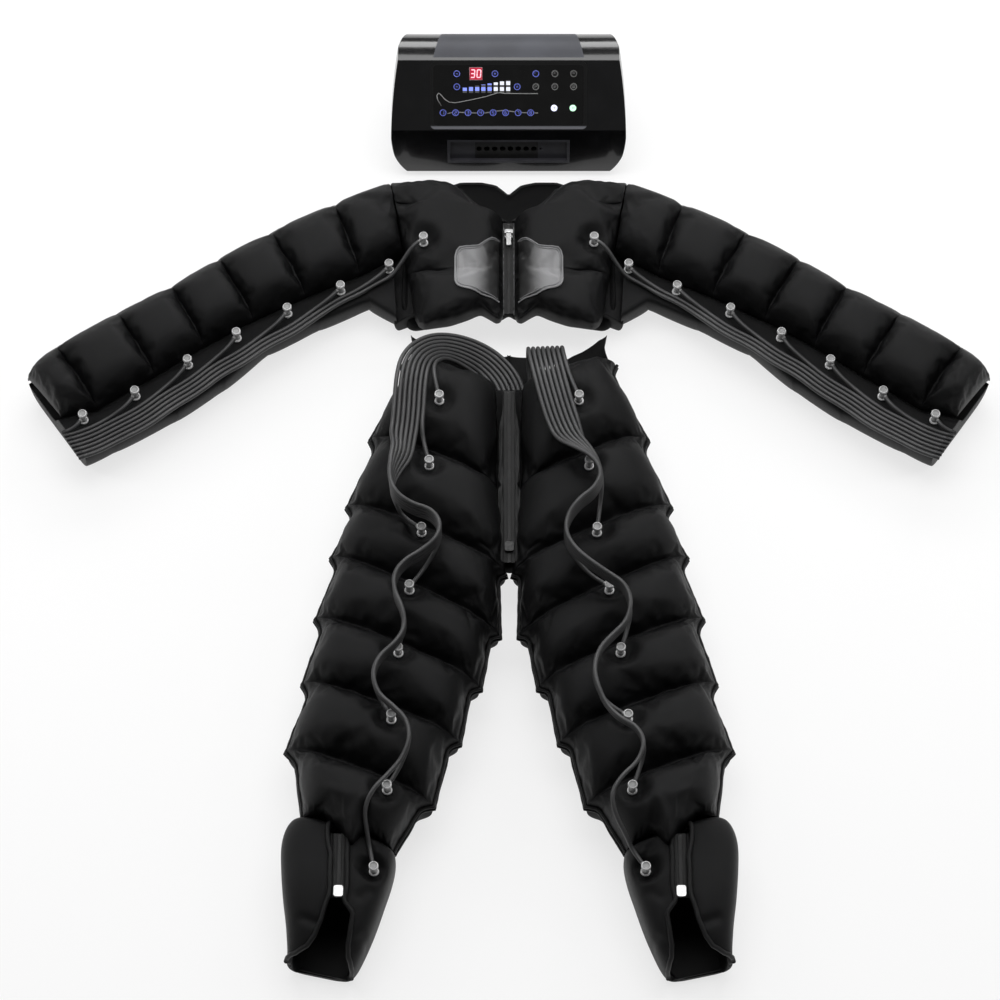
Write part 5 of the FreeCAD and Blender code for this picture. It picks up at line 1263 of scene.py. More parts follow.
def boot_point(share, turn):
    """A point of the boot's skin: turn is measured from the top, outer side negative."""
    outer, inner, height = boot_frame(share)
    across = math.copysign(abs(math.sin(turn)) ** BOOT_SQUARE, math.sin(turn))
    up = math.copysign(abs(math.cos(turn)) ** BOOT_SQUARE, math.cos(turn))
    plan = blend_of(outer, inner, 0.5 + 0.5 * across)
    return np.array((*plan, max(height * (0.5 + 0.5 * up), BOOT_FLOOR)))


def boot_skin():
    rows = []
    for share in np.linspace(-BOOT_OVERLAP, 1, BOOT_ROWS):
        left = -float(np.interp(share, LIP_AT, OUTER_LIP_TURNS))
        right = float(np.interp(share, LIP_AT, INNER_LIP_TURNS))
        turns = np.linspace(left, right - 2 * math.pi, BOOT_SIDES)
        rows.append([boot_point(share, turn) for turn in turns])
    return np.array(rows)


def make_boots():
    skin = boot_skin()
    index = np.arange(BOOT_ROWS * BOOT_SIDES).reshape(BOOT_ROWS, BOOT_SIDES)
    points = skin.reshape(-1, 3)
    out = points - points.mean(axis=0)
    out[:, 1] = 0
    folds = wobble(points, 22.0, 5.7) * BOOT_WOBBLE
    for start, end, depth in BOOT_CREASES:
        away = segment_distance(points[:, :2], start, end)
        folds -= depth * np.exp(-(away / CREASE_WIDTH) ** 2) * (points[:, 2] > CREASE_LEVEL)
    points = points + unit(out) * folds[:, None] * (points[:, 2:] > BOOT_WOBBLE_LEVEL)
    boot = add_piece("left_boot_shell", points, quads(index[:, ::-1]), "suit_nylon")
    dimpled(boot, leg_seats()[-1:], BOOT_DIMPLE)
    pressed(boot, "left_leg", "right_leg")
    thickened(boot, BOOT_WALL, -1.0)
    bpy.context.view_layer.update()
    solid = bpy.data.meshes.new_from_object(boot.evaluated_get(bpy.context.evaluated_depsgraph_get()))
    boot.modifiers.clear()
    set_points(solid, np.maximum(points_of(solid), (-np.inf, -np.inf, BOOT_FLOOR)))
    boot.data = solid
    settle_pair(boot, "nylon_black", "left_boot", 1)
    make_boot_trim(skin)


def segment_distance(points, start, end):
    """Distance of flat points from a line between two others."""
    start, end = np.array(start), np.array(end)
    span = end - start
    share = np.clip(((points - start) @ span) / (span @ span), 0, 1)
    return np.linalg.norm(points - start - share[:, None] * span, axis=1)


def make_boot_trim(skin):
    """Rolled hems along the lips, folded ridges beside the zip, and the sole inside."""
    rise = np.array((0.0, 0.0, HEM_LIFT))
    shapes = [tube_parts(skin[:, column] + rise, HEM_RADIUS, 12) for column in (0, -1)]
    high, low = boot_zip_ends()
    at = np.linspace(0, 1, 24)[:, None]
    for step, radius in RIDGES:
        line = blend_of(high, low, at) + (step, 0.0, RIDGE_LIFT)
        line[:, 0] += wobble(line, 30.0, step * 900) * RIDGE_RUFFLE
        shapes.append(tube_parts(line, radius, 12))
    hems = add_piece("left_boot_hems", *joined(shapes), "piping_nylon")
    settle_pair(hems, "nylon_black", "left_boot")
    outline = []
    across = crowded(INSOLE_COLUMNS)
    for share in np.linspace(0.04, 0.995, INSOLE_ROWS):
        outer, inner = boot_frame(share)[:2]
        outline.append(blend_of(outer, inner, (0.08 + 0.84 * across)[:, None]))
    plan = np.array(outline)
    upper = lifted(plan, INSOLE_EDGE + INSOLE_CROWN * arched(across, 6.0, 0.5))
    lower = lifted(plan, INSOLE_BOTTOM)
    sole = add_piece("left_boot_insole", *closed_form(upper, lower), "piping_nylon")
    settle_pair(sole, "nylon_black", "left_boot", 1)


# Jacket

SLEEVE_SWELL = 0.005
CHEST_SWELL = 0.006
CHEST_EDGE_RISE = 0.008
HEM_REACH = 0.8
BED_DROP = 0.0006
BED_BLEND = (-0.08, -0.01)
BED_EDGE_DROP = 0.010
SLEEVE_EDGE_DROP = 0.002
SLEEVE_BACK_DRAW = 0.002
SLEEVE_BACK_FULL = 0.86
NECK_CORDS = ((0.001, 0.006, 0.0024), (0.0045, 0.0015, 0.002))


def sleeve_profile(across, full):
    """Height of a sleeve's upper side at shares across it, for chambers that are so full."""
    edge = blend_of(JACKET_EDGE, JACKET_TOP, across)
    rise = JACKET_TOP + blend_of(SLEEVE_SEAM_RISE, SLEEVE_CROWN_RISE, full) - edge
    return edge + rise * arched(across, ACROSS_POWER, ACROSS_ROOT)


def make_sleeves():
    layer = Layer(sleeve_seams(), SLEEVE_COLUMNS, 0.0)
    depths = [SHOULDER_DEPTH] + [SLEEVE_DEPTH] * (layer.count - 2) + [FULL_DEPTH]
    edge = blend_of(JACKET_EDGE, JACKET_TOP, layer.across)
    side = arched(layer.across, ACROSS_POWER, ACROSS_ROOT)
    upper = layer.raised(sleeve_profile(layer.across, layer.fullness(depths)))
    lower = layer.raised(edge + (JACKET_TOP - edge) * side)
    front = add_piece("left_sleeve_front", *closed_form(upper, lower), "suit_nylon")
    swell(front, layer.held(depths), SLEEVE_SWELL)
    puckered(front, layer, 8.3)
    settle_pair(front, "nylon_black", "left_sleeve", 1)
    make_sleeve_back()


def make_sleeve_back():
    """Back chambers, with the flat bed along their lower edge that the hoses lie on."""
    seams = sleeve_seams()
    edges = [jacket_place(shares) for shares in SLEEVE_EDGE_SHARES]
    layer = Layer([(seam[0], edge) for seam, edge in zip(seams, edges)], SLEEVE_COLUMNS,
                  SLEEVE_BACK_DRAW)
    depths = [FULL_DEPTH] * layer.count
    reach = [np.linalg.norm(seam[1] - seam[0]) / np.linalg.norm(edge - seam[0])
             for seam, edge in zip(seams, edges)]
    bed = np.array([np.interp(n + t, range(len(reach)), reach) for n, t in zip(layer.seam, layer.along)])
    across = layer.across[None, :]
    level = blend_of(JACKET_BACK, JACKET_TOP - BED_DROP, smooth_step(across - bed[:, None], *BED_BLEND))
    edge = blend_of(JACKET_EDGE - SLEEVE_EDGE_DROP, JACKET_TOP - BED_EDGE_DROP, across)
    upper = layer.raised(edge + (level - edge) * arched(across, 12.0, 0.5))
    full = blend_of(SLEEVE_BACK_FULL, 1.0, layer.fullness(depths))
    lower = layer.raised(np.maximum(edge * (1 - full * arched(across, TUB_POWER, 0.5)), FLOOR_GAP))
    back = add_piece("left_sleeve_back", *closed_form(upper, lower), "suit_nylon")
    settle_pair(back, "nylon_black", "left_sleeve", 1)


CHEST_DEPTHS = (FULL_DEPTH, ((0.0, 1.0), (0.1, 0.7), (0.22, 0.0), (1.0, 0.0)),
                ((0.0, 0.5), (0.1, 1.0), (0.36, 1.0), (0.5, 0.0), (1.0, 0.0)), FULL_DEPTH)
NECK_BOW = 0.010
GUSSET_DROP = 0.010
GUSSET_BOTTOM = 0.012
GUSSET_INWARD = 0.014
GUSSET_LIFT = 0.030


def make_chest():
    layer = Layer(chest_seams(ZIP_GROOVE), CHEST_COLUMNS, 0.0, NECK_BOW)
    layer.bend(layer.count - 1, HEM_BEND, HEM_REACH)
    side = arched(layer.across, ACROSS_POWER, ACROSS_ROOT)
    edge = blend_of(JACKET_EDGE + CHEST_EDGE_RISE, JACKET_TOP, layer.across)
    rise = JACKET_TOP + blend_of(CHEST_SEAM_RISE, CHEST_CROWN_RISE, layer.fullness(CHEST_DEPTHS)) - edge
    share = np.interp(layer.seam + layer.along, range(layer.count), CHEST_OUTER_SHARES)
    sewn = np.clip(share, 0, 1)
    full = 1 - np.interp(sewn, *zip(*SHOULDER_DEPTH))
    shoulder = np.where(share < 1, sleeve_profile(sewn, full), edge[0])[:, None] - edge
    level = edge + rise * side + np.maximum(shoulder, 0) * np.where(layer.across < 0.5, 1 - side, 0)
    upper = layer.raised(level)
    lower = layer.raised(edge + (JACKET_TOP - edge) * side)
    front = add_piece("left_chest_front", *closed_form(upper, lower), "suit_nylon")
    swell(front, layer.held(CHEST_DEPTHS), CHEST_SWELL)
    puckered(front, layer, 12.9)
    dimpled(front, sleeve_seats()[-1:])
    make_chest_patch(front)
    neck = layer.plan[:CHAMBER_ROWS + 1, -1]
    shapes = []
    for step, rise, radius in NECK_CORDS:
        line = np.column_stack([neck + (step, step * 0.7), np.full(len(neck), JACKET_TOP + rise)])
        shapes.append(tube_parts(line, radius))
    binding = add_piece("left_neck_binding", *joined(shapes), "piping_nylon")
    settle_pair(binding, "nylon_black")
    settle_pair(front, "nylon_black", None, 1)
    for name in ("left_chest_front", "right_chest_front"):
        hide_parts("jacket_front")
    make_gusset(layer.plan[:, 0])


def make_gusset(seam):
    """Soft strip under the arm that joins chest, sleeve and back."""
    at = np.linspace(0, 1, len(seam))
    across = np.linspace(-1, 1, 13)
    out = np.interp(at, (0, 0.5, 0.8, 1.0), (0.012, 0.024, 0.034, 0.033))
    reach = np.where(across[None, :] < 0, out[:, None] * across, GUSSET_INWARD * across)
    lift = (at ** 4 * GUSSET_LIFT)[:, None] * (across + 1) / 2
    plan = seam[:, None] + np.stack([reach, lift], axis=2)
    upper = lifted(plan, JACKET_TOP - GUSSET_DROP - GUSSET_DROP * across ** 2)
    lower = lifted(plan, GUSSET_BOTTOM)
    gusset = add_piece("left_arm_gusset", *closed_form(upper, lower), "suit_nylon")
    settle_pair(gusset, "nylon_black", None, 1)


def draped(plan, piece, lift):
    """Points that lie on a piece's upper side, a little above it."""
    corners = [vertex.co for vertex in piece.data.vertices]
    tree = BVHTree.FromPolygons(corners, [face.vertices for face in piece.data.polygons])
    points = []
    for x, y in plan:
        place = tree.ray_cast(Vector((x, y, 0.5)), Vector((0.0, 0.0, -1.0)))[0]
        if place is None:
            raise RuntimeError("a patch point lies off %s" % piece.name)
        points.append((x, y, place.z + lift))
    return np.array(points)


PATCH_THICK = 0.0012
PATCH_ROWS = 30
PATCH_LIFT = 0.0016
STITCH_INSET = 0.0042


def make_chest_patch(front):
    """A coated patch on the chest with a stitched welt round it."""
    x = np.linspace(PATCH_TOP[0][0], PATCH_TOP[-1][0], PATCH_ROWS)
    top = np.column_stack([x, np.interp(x, *zip(*PATCH_TOP))])
    low = np.column_stack([x, np.interp(x, *zip(*PATCH_LOW))])
    rows = [blend_of(top, low, share) for share in np.linspace(0, 1, PATCH_ROWS)]
    grid = draped(np.concatenate(rows), front, PATCH_LIFT)
    index = np.arange(len(grid)).reshape(len(rows), len(x))
    patch = add_piece("left_chest_patch", grid, quads(index), "chest_patch")
    rim = np.concatenate([top[::-1], low])
    inner = rim + unit(rim.mean(axis=0) - rim) * STITCH_INSET
    shapes = [tube_parts(draped(rim, front, 0.0018), 0.0013, 8),
              tube_parts(draped(inner, front, 0.0020), 0.0006, 8)]
    welt = add_piece("left_chest_welt", *joined(shapes), "welt_grey")
    settle_pair(patch, "nylon_black")
    settle_pair(welt, "nylon_black")
    for side in ("left", "right"):
        sheet = thickened(bpy.data.objects[side + "_chest_patch"], PATCH_THICK, -1.0)


BACK_COLUMNS = 60
BACK_ROWS = 40
BACK_INSET = 0.018
BACK_EDGE = 0.018
BACK_HEM_STEP = 0.050
BACK_SIDE = 0.03
BACK_SIDE_DROP = 0.004
COLLAR_LEVEL = 0.024
COLLAR_RISE = ((0.0, 0.003), (0.006, 0.007), (0.02, 0.015), (0.043, 0.019), (0.075, 0.017), (0.1, 0.006),
               (0.12, 0.0))


def make_back():
    """Back panel of the jacket, from the hem to the collar, with sides that rise to the chest."""
    half = JACKET_REACH * COLLAR_SHARES[0][0] - BACK_INSET
    x = np.linspace(-half, half, BACK_COLUMNS)
    collar = np.array([jacket_place(shares) for shares in COLLAR_SHARES])[::-1]
    top = np.interp(np.abs(x), -collar[:, 0], collar[:, 1]) + np.interp(np.abs(x), *zip(*COLLAR_RISE))
    hem = HEM + BACK_HEM_STEP + np.interp(1 - np.abs(x) / half, *zip(*HEM_BEND))
    rows = []
    for share in crowded(BACK_ROWS):
        rows.append(np.column_stack([x, blend_of(top, hem, share)]))
    plan = np.array(rows)
    along = crowded(BACK_ROWS)[:, None]
    outer = smooth_step(np.abs(x)[None, :], half - BACK_SIDE, half)
    level = blend_of(JACKET_BACK, JACKET_TOP - BACK_SIDE_DROP, outer)
    rim = arched(along, 14.0, 0.5)
    upper = lifted(plan, BACK_EDGE + (level - BACK_EDGE) * rim)
    across = np.linspace(0, 1, BACK_COLUMNS)[None, :]
    deep = arched(along, TUB_POWER, 0.5) * arched(across, TUB_POWER, 0.5)
    lower = lifted(plan, np.maximum(BACK_EDGE * (1 - deep), FLOOR_GAP))
    piece = add_piece("jacket_back_panel", *closed_form(upper, lower), "lining_nylon")
    settle(subdivided(piece), "nylon_black", "jacket_back")
    line = np.column_stack([plan[0], np.full(BACK_COLUMNS, COLLAR_LEVEL)])
    binding = add_piece("jacket_collar_binding", *tube_parts(line, BINDING_RADIUS), "piping_nylon")
    settle(binding, "nylon_black")


# Zips

TOOTH_PITCH = 0.0024
COIL_LIFT = 0.001
TAPE_LIFT = 0.002
TAPE_THICK = 0.002
TAPE_COLUMNS = 17
TAPE_ROWS = 120
TAPE_RUFFLE = 0.3
TAPE_WAVES = 26
RIB_AT = 0.62
RIB_WIDTH = 0.2
JACKET_TAPE_HALF = 0.0128
JACKET_TAPE_RIB = 0.001
BOOT_TAPE_HALF = 0.009
BOOT_TAPE_RIB = 0.0012
ZIP_EDGE_AT = 0.0079
ZIP_EDGE_LIFT = 0.0022
ZIP_EDGE_RADIUS = 0.0007
ZIP_EDGE_POINTS = 40
FACING_SIZE = (0.084, 0.314)
FACING_TOP = 0.146
FACING_LEVEL = 0.071
FACING_FOLD = 0.0025
FACING_THICK = 0.0016
TOOTH_SIZE = (0.0030, 0.0013, 0.0016)
TOOTH_OFFSET = 0.0012
TOOTH_CORNER = 0.0003
JACKET_ZIP_GAP = 0.006
ZIP_EDGE_GAP = 0.004
FLY_ZIP_GAPS = (0.012, 0.006)
FLY_FLAT = (0.0072, 0.0105)
FLY_RISE = 0.004
FLY_FOLD = 0.0035
FLY_WIDTHS = ((-0.157, 0.0165), (-0.036, 0.0165), (-0.027, 0.0115), (-0.018, 0.0155), (0.07, 0.015),
              (0.10, 0.010), (0.14, 0.0085))


def teeth(start, end, out):
    """Two rows of interlocked coil teeth from start to end; out is the way they face."""
    start, end = np.asarray(start, float), np.asarray(end, float)
    ahead = unit(end - start)
    side = np.cross(ahead, out)
    count = int(np.linalg.norm(end - start) / TOOTH_PITCH)
    shapes = []
    for number in range(count):
        for hand in (-1, 1):
            middle = start + ahead * TOOTH_PITCH * (number + 0.25 * hand + 0.5) + side * hand * TOOTH_OFFSET
            shapes.append(rounded_bar(middle, side * hand, ahead, np.asarray(out), TOOTH_SIZE, TOOTH_CORNER))
    return joined(shapes)


def tape(start, end, out, half, lift):
    """A woven tape with a slight, uneven rib along each side."""
    side = np.cross(unit(end - start), out)
    across = np.linspace(-1, 1, TAPE_COLUMNS)
    rib = lift * np.exp(-((np.abs(across) - RIB_AT) / RIB_WIDTH) ** 2)
    rows = []
    for share in np.linspace(0, 1, TAPE_ROWS):
        height = 1 - TAPE_RUFFLE * (0.5 + 0.5 * noise.noise(Vector((share * TAPE_WAVES, 0, half))))
        middle = start + (end - start) * share
        rows.append(middle + side * half * across[:, None] + out * rib[:, None] * height)
    upper = np.array(rows)[:, ::-1]
    return closed_form(upper, upper - out * TAPE_THICK)


def fly_cloth(start, end):
    """Fly band: narrow at the waist, pinched at the seam, puckered on both sides of the zip."""
    y = np.linspace(start[1], end[1], 160)
    x = np.linspace(-1, 1, 41)[None, :] * np.interp(y, *zip(*FLY_WIDTHS))[:, None]
    plan = np.stack(np.broadcast_arrays(x, y[:, None]), axis=2)
    beside = smooth_step(np.abs(x), *FLY_FLAT)
    flat = plan.reshape(-1, 2)
    folds = wobble(flat * (1.0, 0.45), 110.0, 4.4) + wobble(flat * (1.6, 0.2), 150.0, 9.1)
    level = start[2] + beside * (FLY_RISE + FLY_FOLD * folds.reshape(x.shape))
    upper = lifted(plan, level)[::-1]
    return closed_form(upper, upper - (0.0, 0.0, TAPE_THICK))


def make_zip(name, band, start, end, out):
    """A zip's band of cloth, and its teeth from start to end."""
    cloth = add_piece(name + "_zip_tape", *band, "zip_tape_twill")
    rows = teeth(start + out * COIL_LIFT, end + out * COIL_LIFT, out)
    coil = add_piece(name + "_zip_coil", *rows, "coil_black")
    settle(cloth, "zip_tape", "zip_tapes")
    settle(coil, "zip_tape", "zip_tapes")


def make_fly_facing():
    """Cloth behind the fly zip, tucked under the chambers on both sides."""
    wide, long = FACING_SIZE
    across = np.linspace(-1, 1, 25)[None, :]
    y = np.linspace(FACING_TOP, FACING_TOP - long, 80)[:, None]
    plan = np.stack(np.broadcast_arrays(across * wide / 2, y), axis=2)
    spread = np.stack(np.broadcast_arrays(across * 0.5, y), axis=2)
    folds = wobble(spread.reshape(-1, 2), 60.0, 2.2)
    upper = lifted(plan, FACING_LEVEL + FACING_FOLD * folds.reshape(plan.shape[:2]))
    lower = upper - (0.0, 0.0, FACING_THICK)
    facing = add_piece("fly_facing", *closed_form(upper, lower), "lining_nylon")
    settle(facing, "nylon_black", "zip_tapes")


def make_zips():
    make_fly_facing()
    up = np.array((0.0, 0.0, 1.0))
    chest = chest_seams()
    hem, neck = chest[-1][1][1], chest[1][1][1]
    level = JACKET_TOP + TAPE_LIFT
    low = np.array((0.0, hem + JACKET_ZIP_GAP, level))
    high = np.array((0.0, neck, level))
    make_zip("jacket", tape(low, high, up, JACKET_TAPE_HALF, JACKET_TAPE_RIB), low, high, up)
    y = np.linspace(hem + ZIP_EDGE_GAP, neck, ZIP_EDGE_POINTS)
    strips = []
    for hand in (-1, 1):
        line = np.stack(np.broadcast_arrays(hand * ZIP_EDGE_AT, y, JACKET_TOP + ZIP_EDGE_LIFT), axis=1)
        strips.append(tube_parts(line, ZIP_EDGE_RADIUS, 8))
    edges = add_piece("jacket_zip_edges", *joined(strips), "welt_grey")
    settle(edges, "zip_tape", "zip_tapes")
    legs = leg_seams(FLY_HALF)
    level = LEG_TOP + TAPE_LIFT
    low = np.array((0.0, legs[2][1][1] + FLY_ZIP_GAPS[0], level))
    high = np.array((0.0, legs[0][1][1] - FLY_ZIP_GAPS[1], level))
    make_zip("fly", fly_cloth(low, high), low, high, up)
    high, low = boot_zip_ends()
    slope = unit(high - low)
    out = np.array((0.0, -slope[2], slope[1]))
    for side, hand in (("left", 1.0), ("right", -1.0)):
        start = low * (hand, 1.0, 1.0)
        end = high * (hand, 1.0, 1.0)
        make_zip(side + "_boot", tape(start, end, out, BOOT_TAPE_HALF, BOOT_TAPE_RIB), start, end, out)
    dress_nodes({"slider_chrome": ("jacket_slider", "jacket_pull", "left_boot_slider", "right_boot_slider"),
                 "slider_dark": ("fly_slider",)})


# Console

def dress_nodes(table):
    """Give kept CAD nodes their finish."""
    for material, names in table.items():
        for name in names:
            mesh = NODES[name].data
            mesh.materials.clear()
            mesh.materials.append(finishes()[material])


CONSOLE_FINISHES = {
    "case_gloss": ("console_base", "console_cover"),
    "band_satin": ("top_band",),
    "bezel_satin": ("panel_bezel",),
    "panel_glass": ("control_panel",),
    "display_red": ("display_lens",),
    "bar_light": ("level_bars",),
    "outlet_grey": ("outlet_manifold",),
    "socket_black": ("outlet_sockets", "power_inlet"),
    "pump_metal": ("air_pump", "distributor_motor"),
    "rubber_black": ("rubber_feet", "pump_mounts"),
    "housing_plastic": ("air_distributor", "distributor_disc"),
    "board_green": ("main_board", "key_board"),
    "screw_steel": ("case_screws",),
    "tube_clear": ("inner_tubes",),
}


def make_console():
    keys = [name for name in NODES if name.endswith("_key") or "_key_" in name]
    dress_nodes({**CONSOLE_FINISHES, "key_cap": keys})


def on_panel(points, level):
    """Flat points on the panel moved into the row frame."""
    turn = Matrix.Rotation(PANEL_TILT, 3, "X")
    return [PANEL_MIDDLE + turn @ Vector((x, y, level)) for x, y in points]


def strip_parts(line, width, closed=False):
    """A flat strip along a line of panel points."""
    line = np.asarray(line, float)
    around = np.roll(line, -1, axis=0) - np.roll(line, 1, axis=0)
    ahead = unit(around if closed else np.gradient(line, axis=0))
    side = np.column_stack([-ahead[:, 1], ahead[:, 0]]) * width / 2
    points = np.concatenate([line + side, line - side])
    count = len(line)
    last = count if closed else count - 1
    faces = [(i, i + count, (i + 1) % count + count, (i + 1) % count) for i in range(last)]
    return points, faces


def circle(middle, radius, sides=36):
    turns = np.linspace(0, 2 * np.pi, sides, endpoint=False)
    return np.asarray(middle) + radius * np.column_stack([np.cos(turns), np.sin(turns)])


SEGMENTS = {"a": ((0, 2), (1, 2)), "b": ((1, 2), (1, 1)), "c": ((1, 1), (1, 0)), "d": ((0, 0), (1, 0)),
            "e": ((0, 0), (0, 1)), "f": ((0, 1), (0, 2)), "g": ((0, 1), (1, 1))}
DIGITS = {"0": "abcdef", "1": "bc", "2": "abged", "3": "abgcd", "4": "fgbc", "5": "afgcd", "6": "afgedc",
          "7": "abc", "8": "abcdefg"}
SIGNS = {"-": (((-1, 0), (1, 0)),), "+": (((-1, 0), (1, 0)), ((0, -1), (0, 1)))}


def digit(letter, middle, width, height, weight, lean=0.0):
    """A seven segment digit as flat strips."""
    shapes = []
    for name in DIGITS[letter]:
        ends = np.array(SEGMENTS[name], float) * (width, height / 2) - (width / 2, height / 2)
        ends[:, 0] += ends[:, 1] * lean
        middle_of = ends.mean(axis=0)
        ends = middle_of + (ends - middle_of) * 0.96
        shapes.append(strip_parts(ends + middle, weight))
    return joined(shapes)


def sign(letter, middle, size, weight):
    return joined([strip_parts(np.array(ends) * size + middle, weight) for ends in SIGNS[letter]])


PRINT_THICK = 0.00012
RING_WIDTH = 0.0009
ZONE_DIGIT = (0.0026, 0.0050, 0.0007)
DOT_STEP = 0.0014
DOT_ROW_STEP = 0.0022
DOT_RADIUS = 0.0003
DOT_WIDTH = 0.0006
DISC_RADIUS = 0.0030
DISC_WIDTH = 0.0042
SIGN_SIZE = 0.0016
SIGN_WIDTH = 0.0008
LEG_LINE_WIDTH = 0.0013
DISPLAY_SHARE = -0.218
DISPLAY_HALF = 0.0098
DISPLAY_EDGE = 0.0008
TIME_DIGIT = (0.0055, 0.0118, 0.0018, 0.06)
TIME_DIGITS = (("3", -0.0047), ("0", 0.0047))
CORNERS = ((-1, -1), (1, -1), (1, 1), (-1, 1))


def add_print(name, shapes, level, material, body):
    points, faces = joined(shapes)
    piece = add_piece(name, on_panel(points[:, :2], level), [f[::-1] for f in faces], material)
    thickened(piece, PRINT_THICK, 1.0)
    return settle(piece, "key_cap" if body != BODY else "panel_glass", body=body)


KEY_ROWS = {"time": 0.361, "pressure": 0.146, "lit": -0.206, "zone": -0.284}
KEY_SHARES = {
    "time_minus_key": (-0.345, "time"), "time_plus_key": (-0.091, "time"),
    "pressure_minus_key": (-0.345, "pressure"), "pressure_plus_key": (0.057, "pressure"),
    "power_key": (0.304, "lit"), "start_key": (0.429, "lit"),
}
MODE_COLUMNS = (0.181, 0.308, 0.433)
ZONE_START = -0.438
ZONE_STEP = 0.0836


def key_places():
    shares = dict(KEY_SHARES)
    for number in range(6):
        shares["mode_key_%d" % (number + 1)] = (MODE_COLUMNS[number % 3], ("time", "pressure")[number // 3])
    for number in range(8):
        shares["zone_key_%d" % (number + 1)] = (ZONE_START + number * ZONE_STEP, "zone")
    return {name: np.array((x * GLASS_WIDTH, KEY_ROWS[row] * GLASS_HEIGHT))
            for name, (x, row) in shares.items()}


def key_glyph(name, middle):
    """Shapes printed on a key, and their material."""
    ring = strip_parts(circle(middle, KEY_RADIUS - RING_WIDTH), RING_WIDTH, True)
    if name.startswith("zone"):
        return [ring, digit(name[-1], middle, *ZONE_DIGIT)], "print_blue"
    if name.startswith("mode"):
        count = int(name[-1])
        places = [middle + (DOT_STEP * (n % 3 - 1), DOT_ROW_STEP * (0.5 - n // 3)) for n in range(count)]
        dots = [strip_parts(circle(place, DOT_RADIUS, 10), DOT_WIDTH, True) for place in places]
        return [ring] + dots, "print_blue" if count == 1 else "print_grey"
    if name in ("power_key", "start_key"):
        disc = strip_parts(circle(middle, DISC_RADIUS), DISC_WIDTH, True)
        return [ring, disc], "print_white" if name == "power_key" else "print_green"
    letter = "-" if "minus" in name else "+"
    return [ring, sign(letter, middle, SIGN_SIZE, SIGN_WIDTH)], "print_blue"


LEG_LINE_TOP = ((-0.1055, -0.0165), (-0.1115, -0.006), (-0.1125, 0.0), (-0.1095, 0.004), (-0.106, 0.001),
                (-0.100, -0.006), (-0.093, -0.0105), (-0.084, -0.0115), (-0.075, -0.0100),
                (-0.055, -0.0060), (-0.035, -0.0015), (-0.018, 0.0040), (-0.013, 0.0045),
                (-0.006, 0.0032), (0.046, 0.0030))
LEG_LINE_LOW = ((-0.096, -0.0285), (-0.090, -0.0270), (-0.076, -0.0265), (-0.056, -0.0275),
                (-0.037, -0.0275), (-0.018, -0.0245), (-0.008, -0.0235), (0.008, -0.0255),
                (0.022, -0.0270), (0.046, -0.0275))


def make_panel_prints():
    for name, middle in key_places().items():
        shapes, material = key_glyph(name, middle)
        add_print(name + "_print", shapes, KEY_TOP, material, name)
    lines = [strip_parts(np.array(line), LEG_LINE_WIDTH) for line in (LEG_LINE_TOP, LEG_LINE_LOW)]
    add_print("leg_outline_print", lines, GLASS_TOP, "print_grey", BODY)
    middle = np.array((DISPLAY_SHARE * GLASS_WIDTH, KEY_ROWS["time"] * GLASS_HEIGHT))
    digits = [digit(letter, middle + (x, 0), *TIME_DIGIT) for letter, x in TIME_DIGITS]
    add_print("display_digits", digits, GLASS_TOP, "digit_pink", BODY)
    edge = np.array((*CORNERS, CORNERS[0])) * DISPLAY_HALF + middle
    add_print("display_edge", [strip_parts(edge, DISPLAY_EDGE)], GLASS_TOP, "print_grey", BODY)


# Stage

CAMERA_TARGET = Vector((-0.0135, -0.0035, 0.0))
VIEW_WIDTH = 1.5
SENSOR = 36.0
FLOOR_HALF = 40.0
FLOOR_LEVEL = -0.0008


def add_light(name, place, target, size, power):
    lamp = bpy.data.lights.new(name, "AREA")
    lamp.shape = "RECTANGLE"
    lamp.size, lamp.size_y = size
    lamp.energy = power
    holder = bpy.data.objects.new(name, lamp)
    holder.location = place
    holder.rotation_euler = (Vector(target) - Vector(place)).to_track_quat("-Z", "Y").to_euler()
    bpy.context.scene.collection.objects.link(holder)


def make_camera():
    camera = bpy.data.cameras.new("photo_camera")
    camera.sensor_width = SENSOR
    stage = look("stage")
    camera.lens = SENSOR * stage.distance / VIEW_WIDTH
    camera.clip_end = 60.0
    holder = bpy.data.objects.new("photo_camera", camera)
    back = Vector((0.0, -math.cos(stage.elevation), math.sin(stage.elevation)))
    holder.location = CAMERA_TARGET + back * stage.distance
    holder.rotation_euler = (-back).to_track_quat("-Z", "Y").to_euler()
    bpy.context.scene.collection.objects.link(holder)
    bpy.context.scene.camera = holder


def floor_finish():
    """Pale floor: near white to the eye and to gloss, with the object's shadow kept."""
    f = Finish("pale_floor")
    seen = f.node("ShaderNodeLightPath", output="Is Camera Ray")
    for ray in ("Is Glossy Ray", "Is Transmission Ray"):
        seen = f.maths("MAXIMUM", seen, f.node("ShaderNodeLightPath", output=ray))
    glow = f.node("ShaderNodeEmission", None, {"Color": grey(1.0), "Strength": 1.0})
    grain = f.speckle(3.0, 2.0)
    floor = look("stage").floor
    matt = f.dress(Base_Color=f.mix(grain, tint(floor, 0.98), tint(floor, 1.02)), Roughness=0.9,
                   Specular_IOR_Level=0.1)
    mixed = f.node("ShaderNodeMixShader", None, {0: seen * 0.72, 1: Wire(f, f.shader.outputs[0]), 2: glow})
    f.feed(f.tree.nodes["Material Output"].inputs["Surface"], mixed)
    return matt


def make_world():
    world = bpy.data.worlds.new("studio")
    world.use_nodes = True
    background = world.node_tree.nodes["Background"]
    background.inputs["Color"].default_value = grey(1.0)
    background.inputs["Strength"].default_value = look("stage").ambient
    bpy.context.scene.world = world


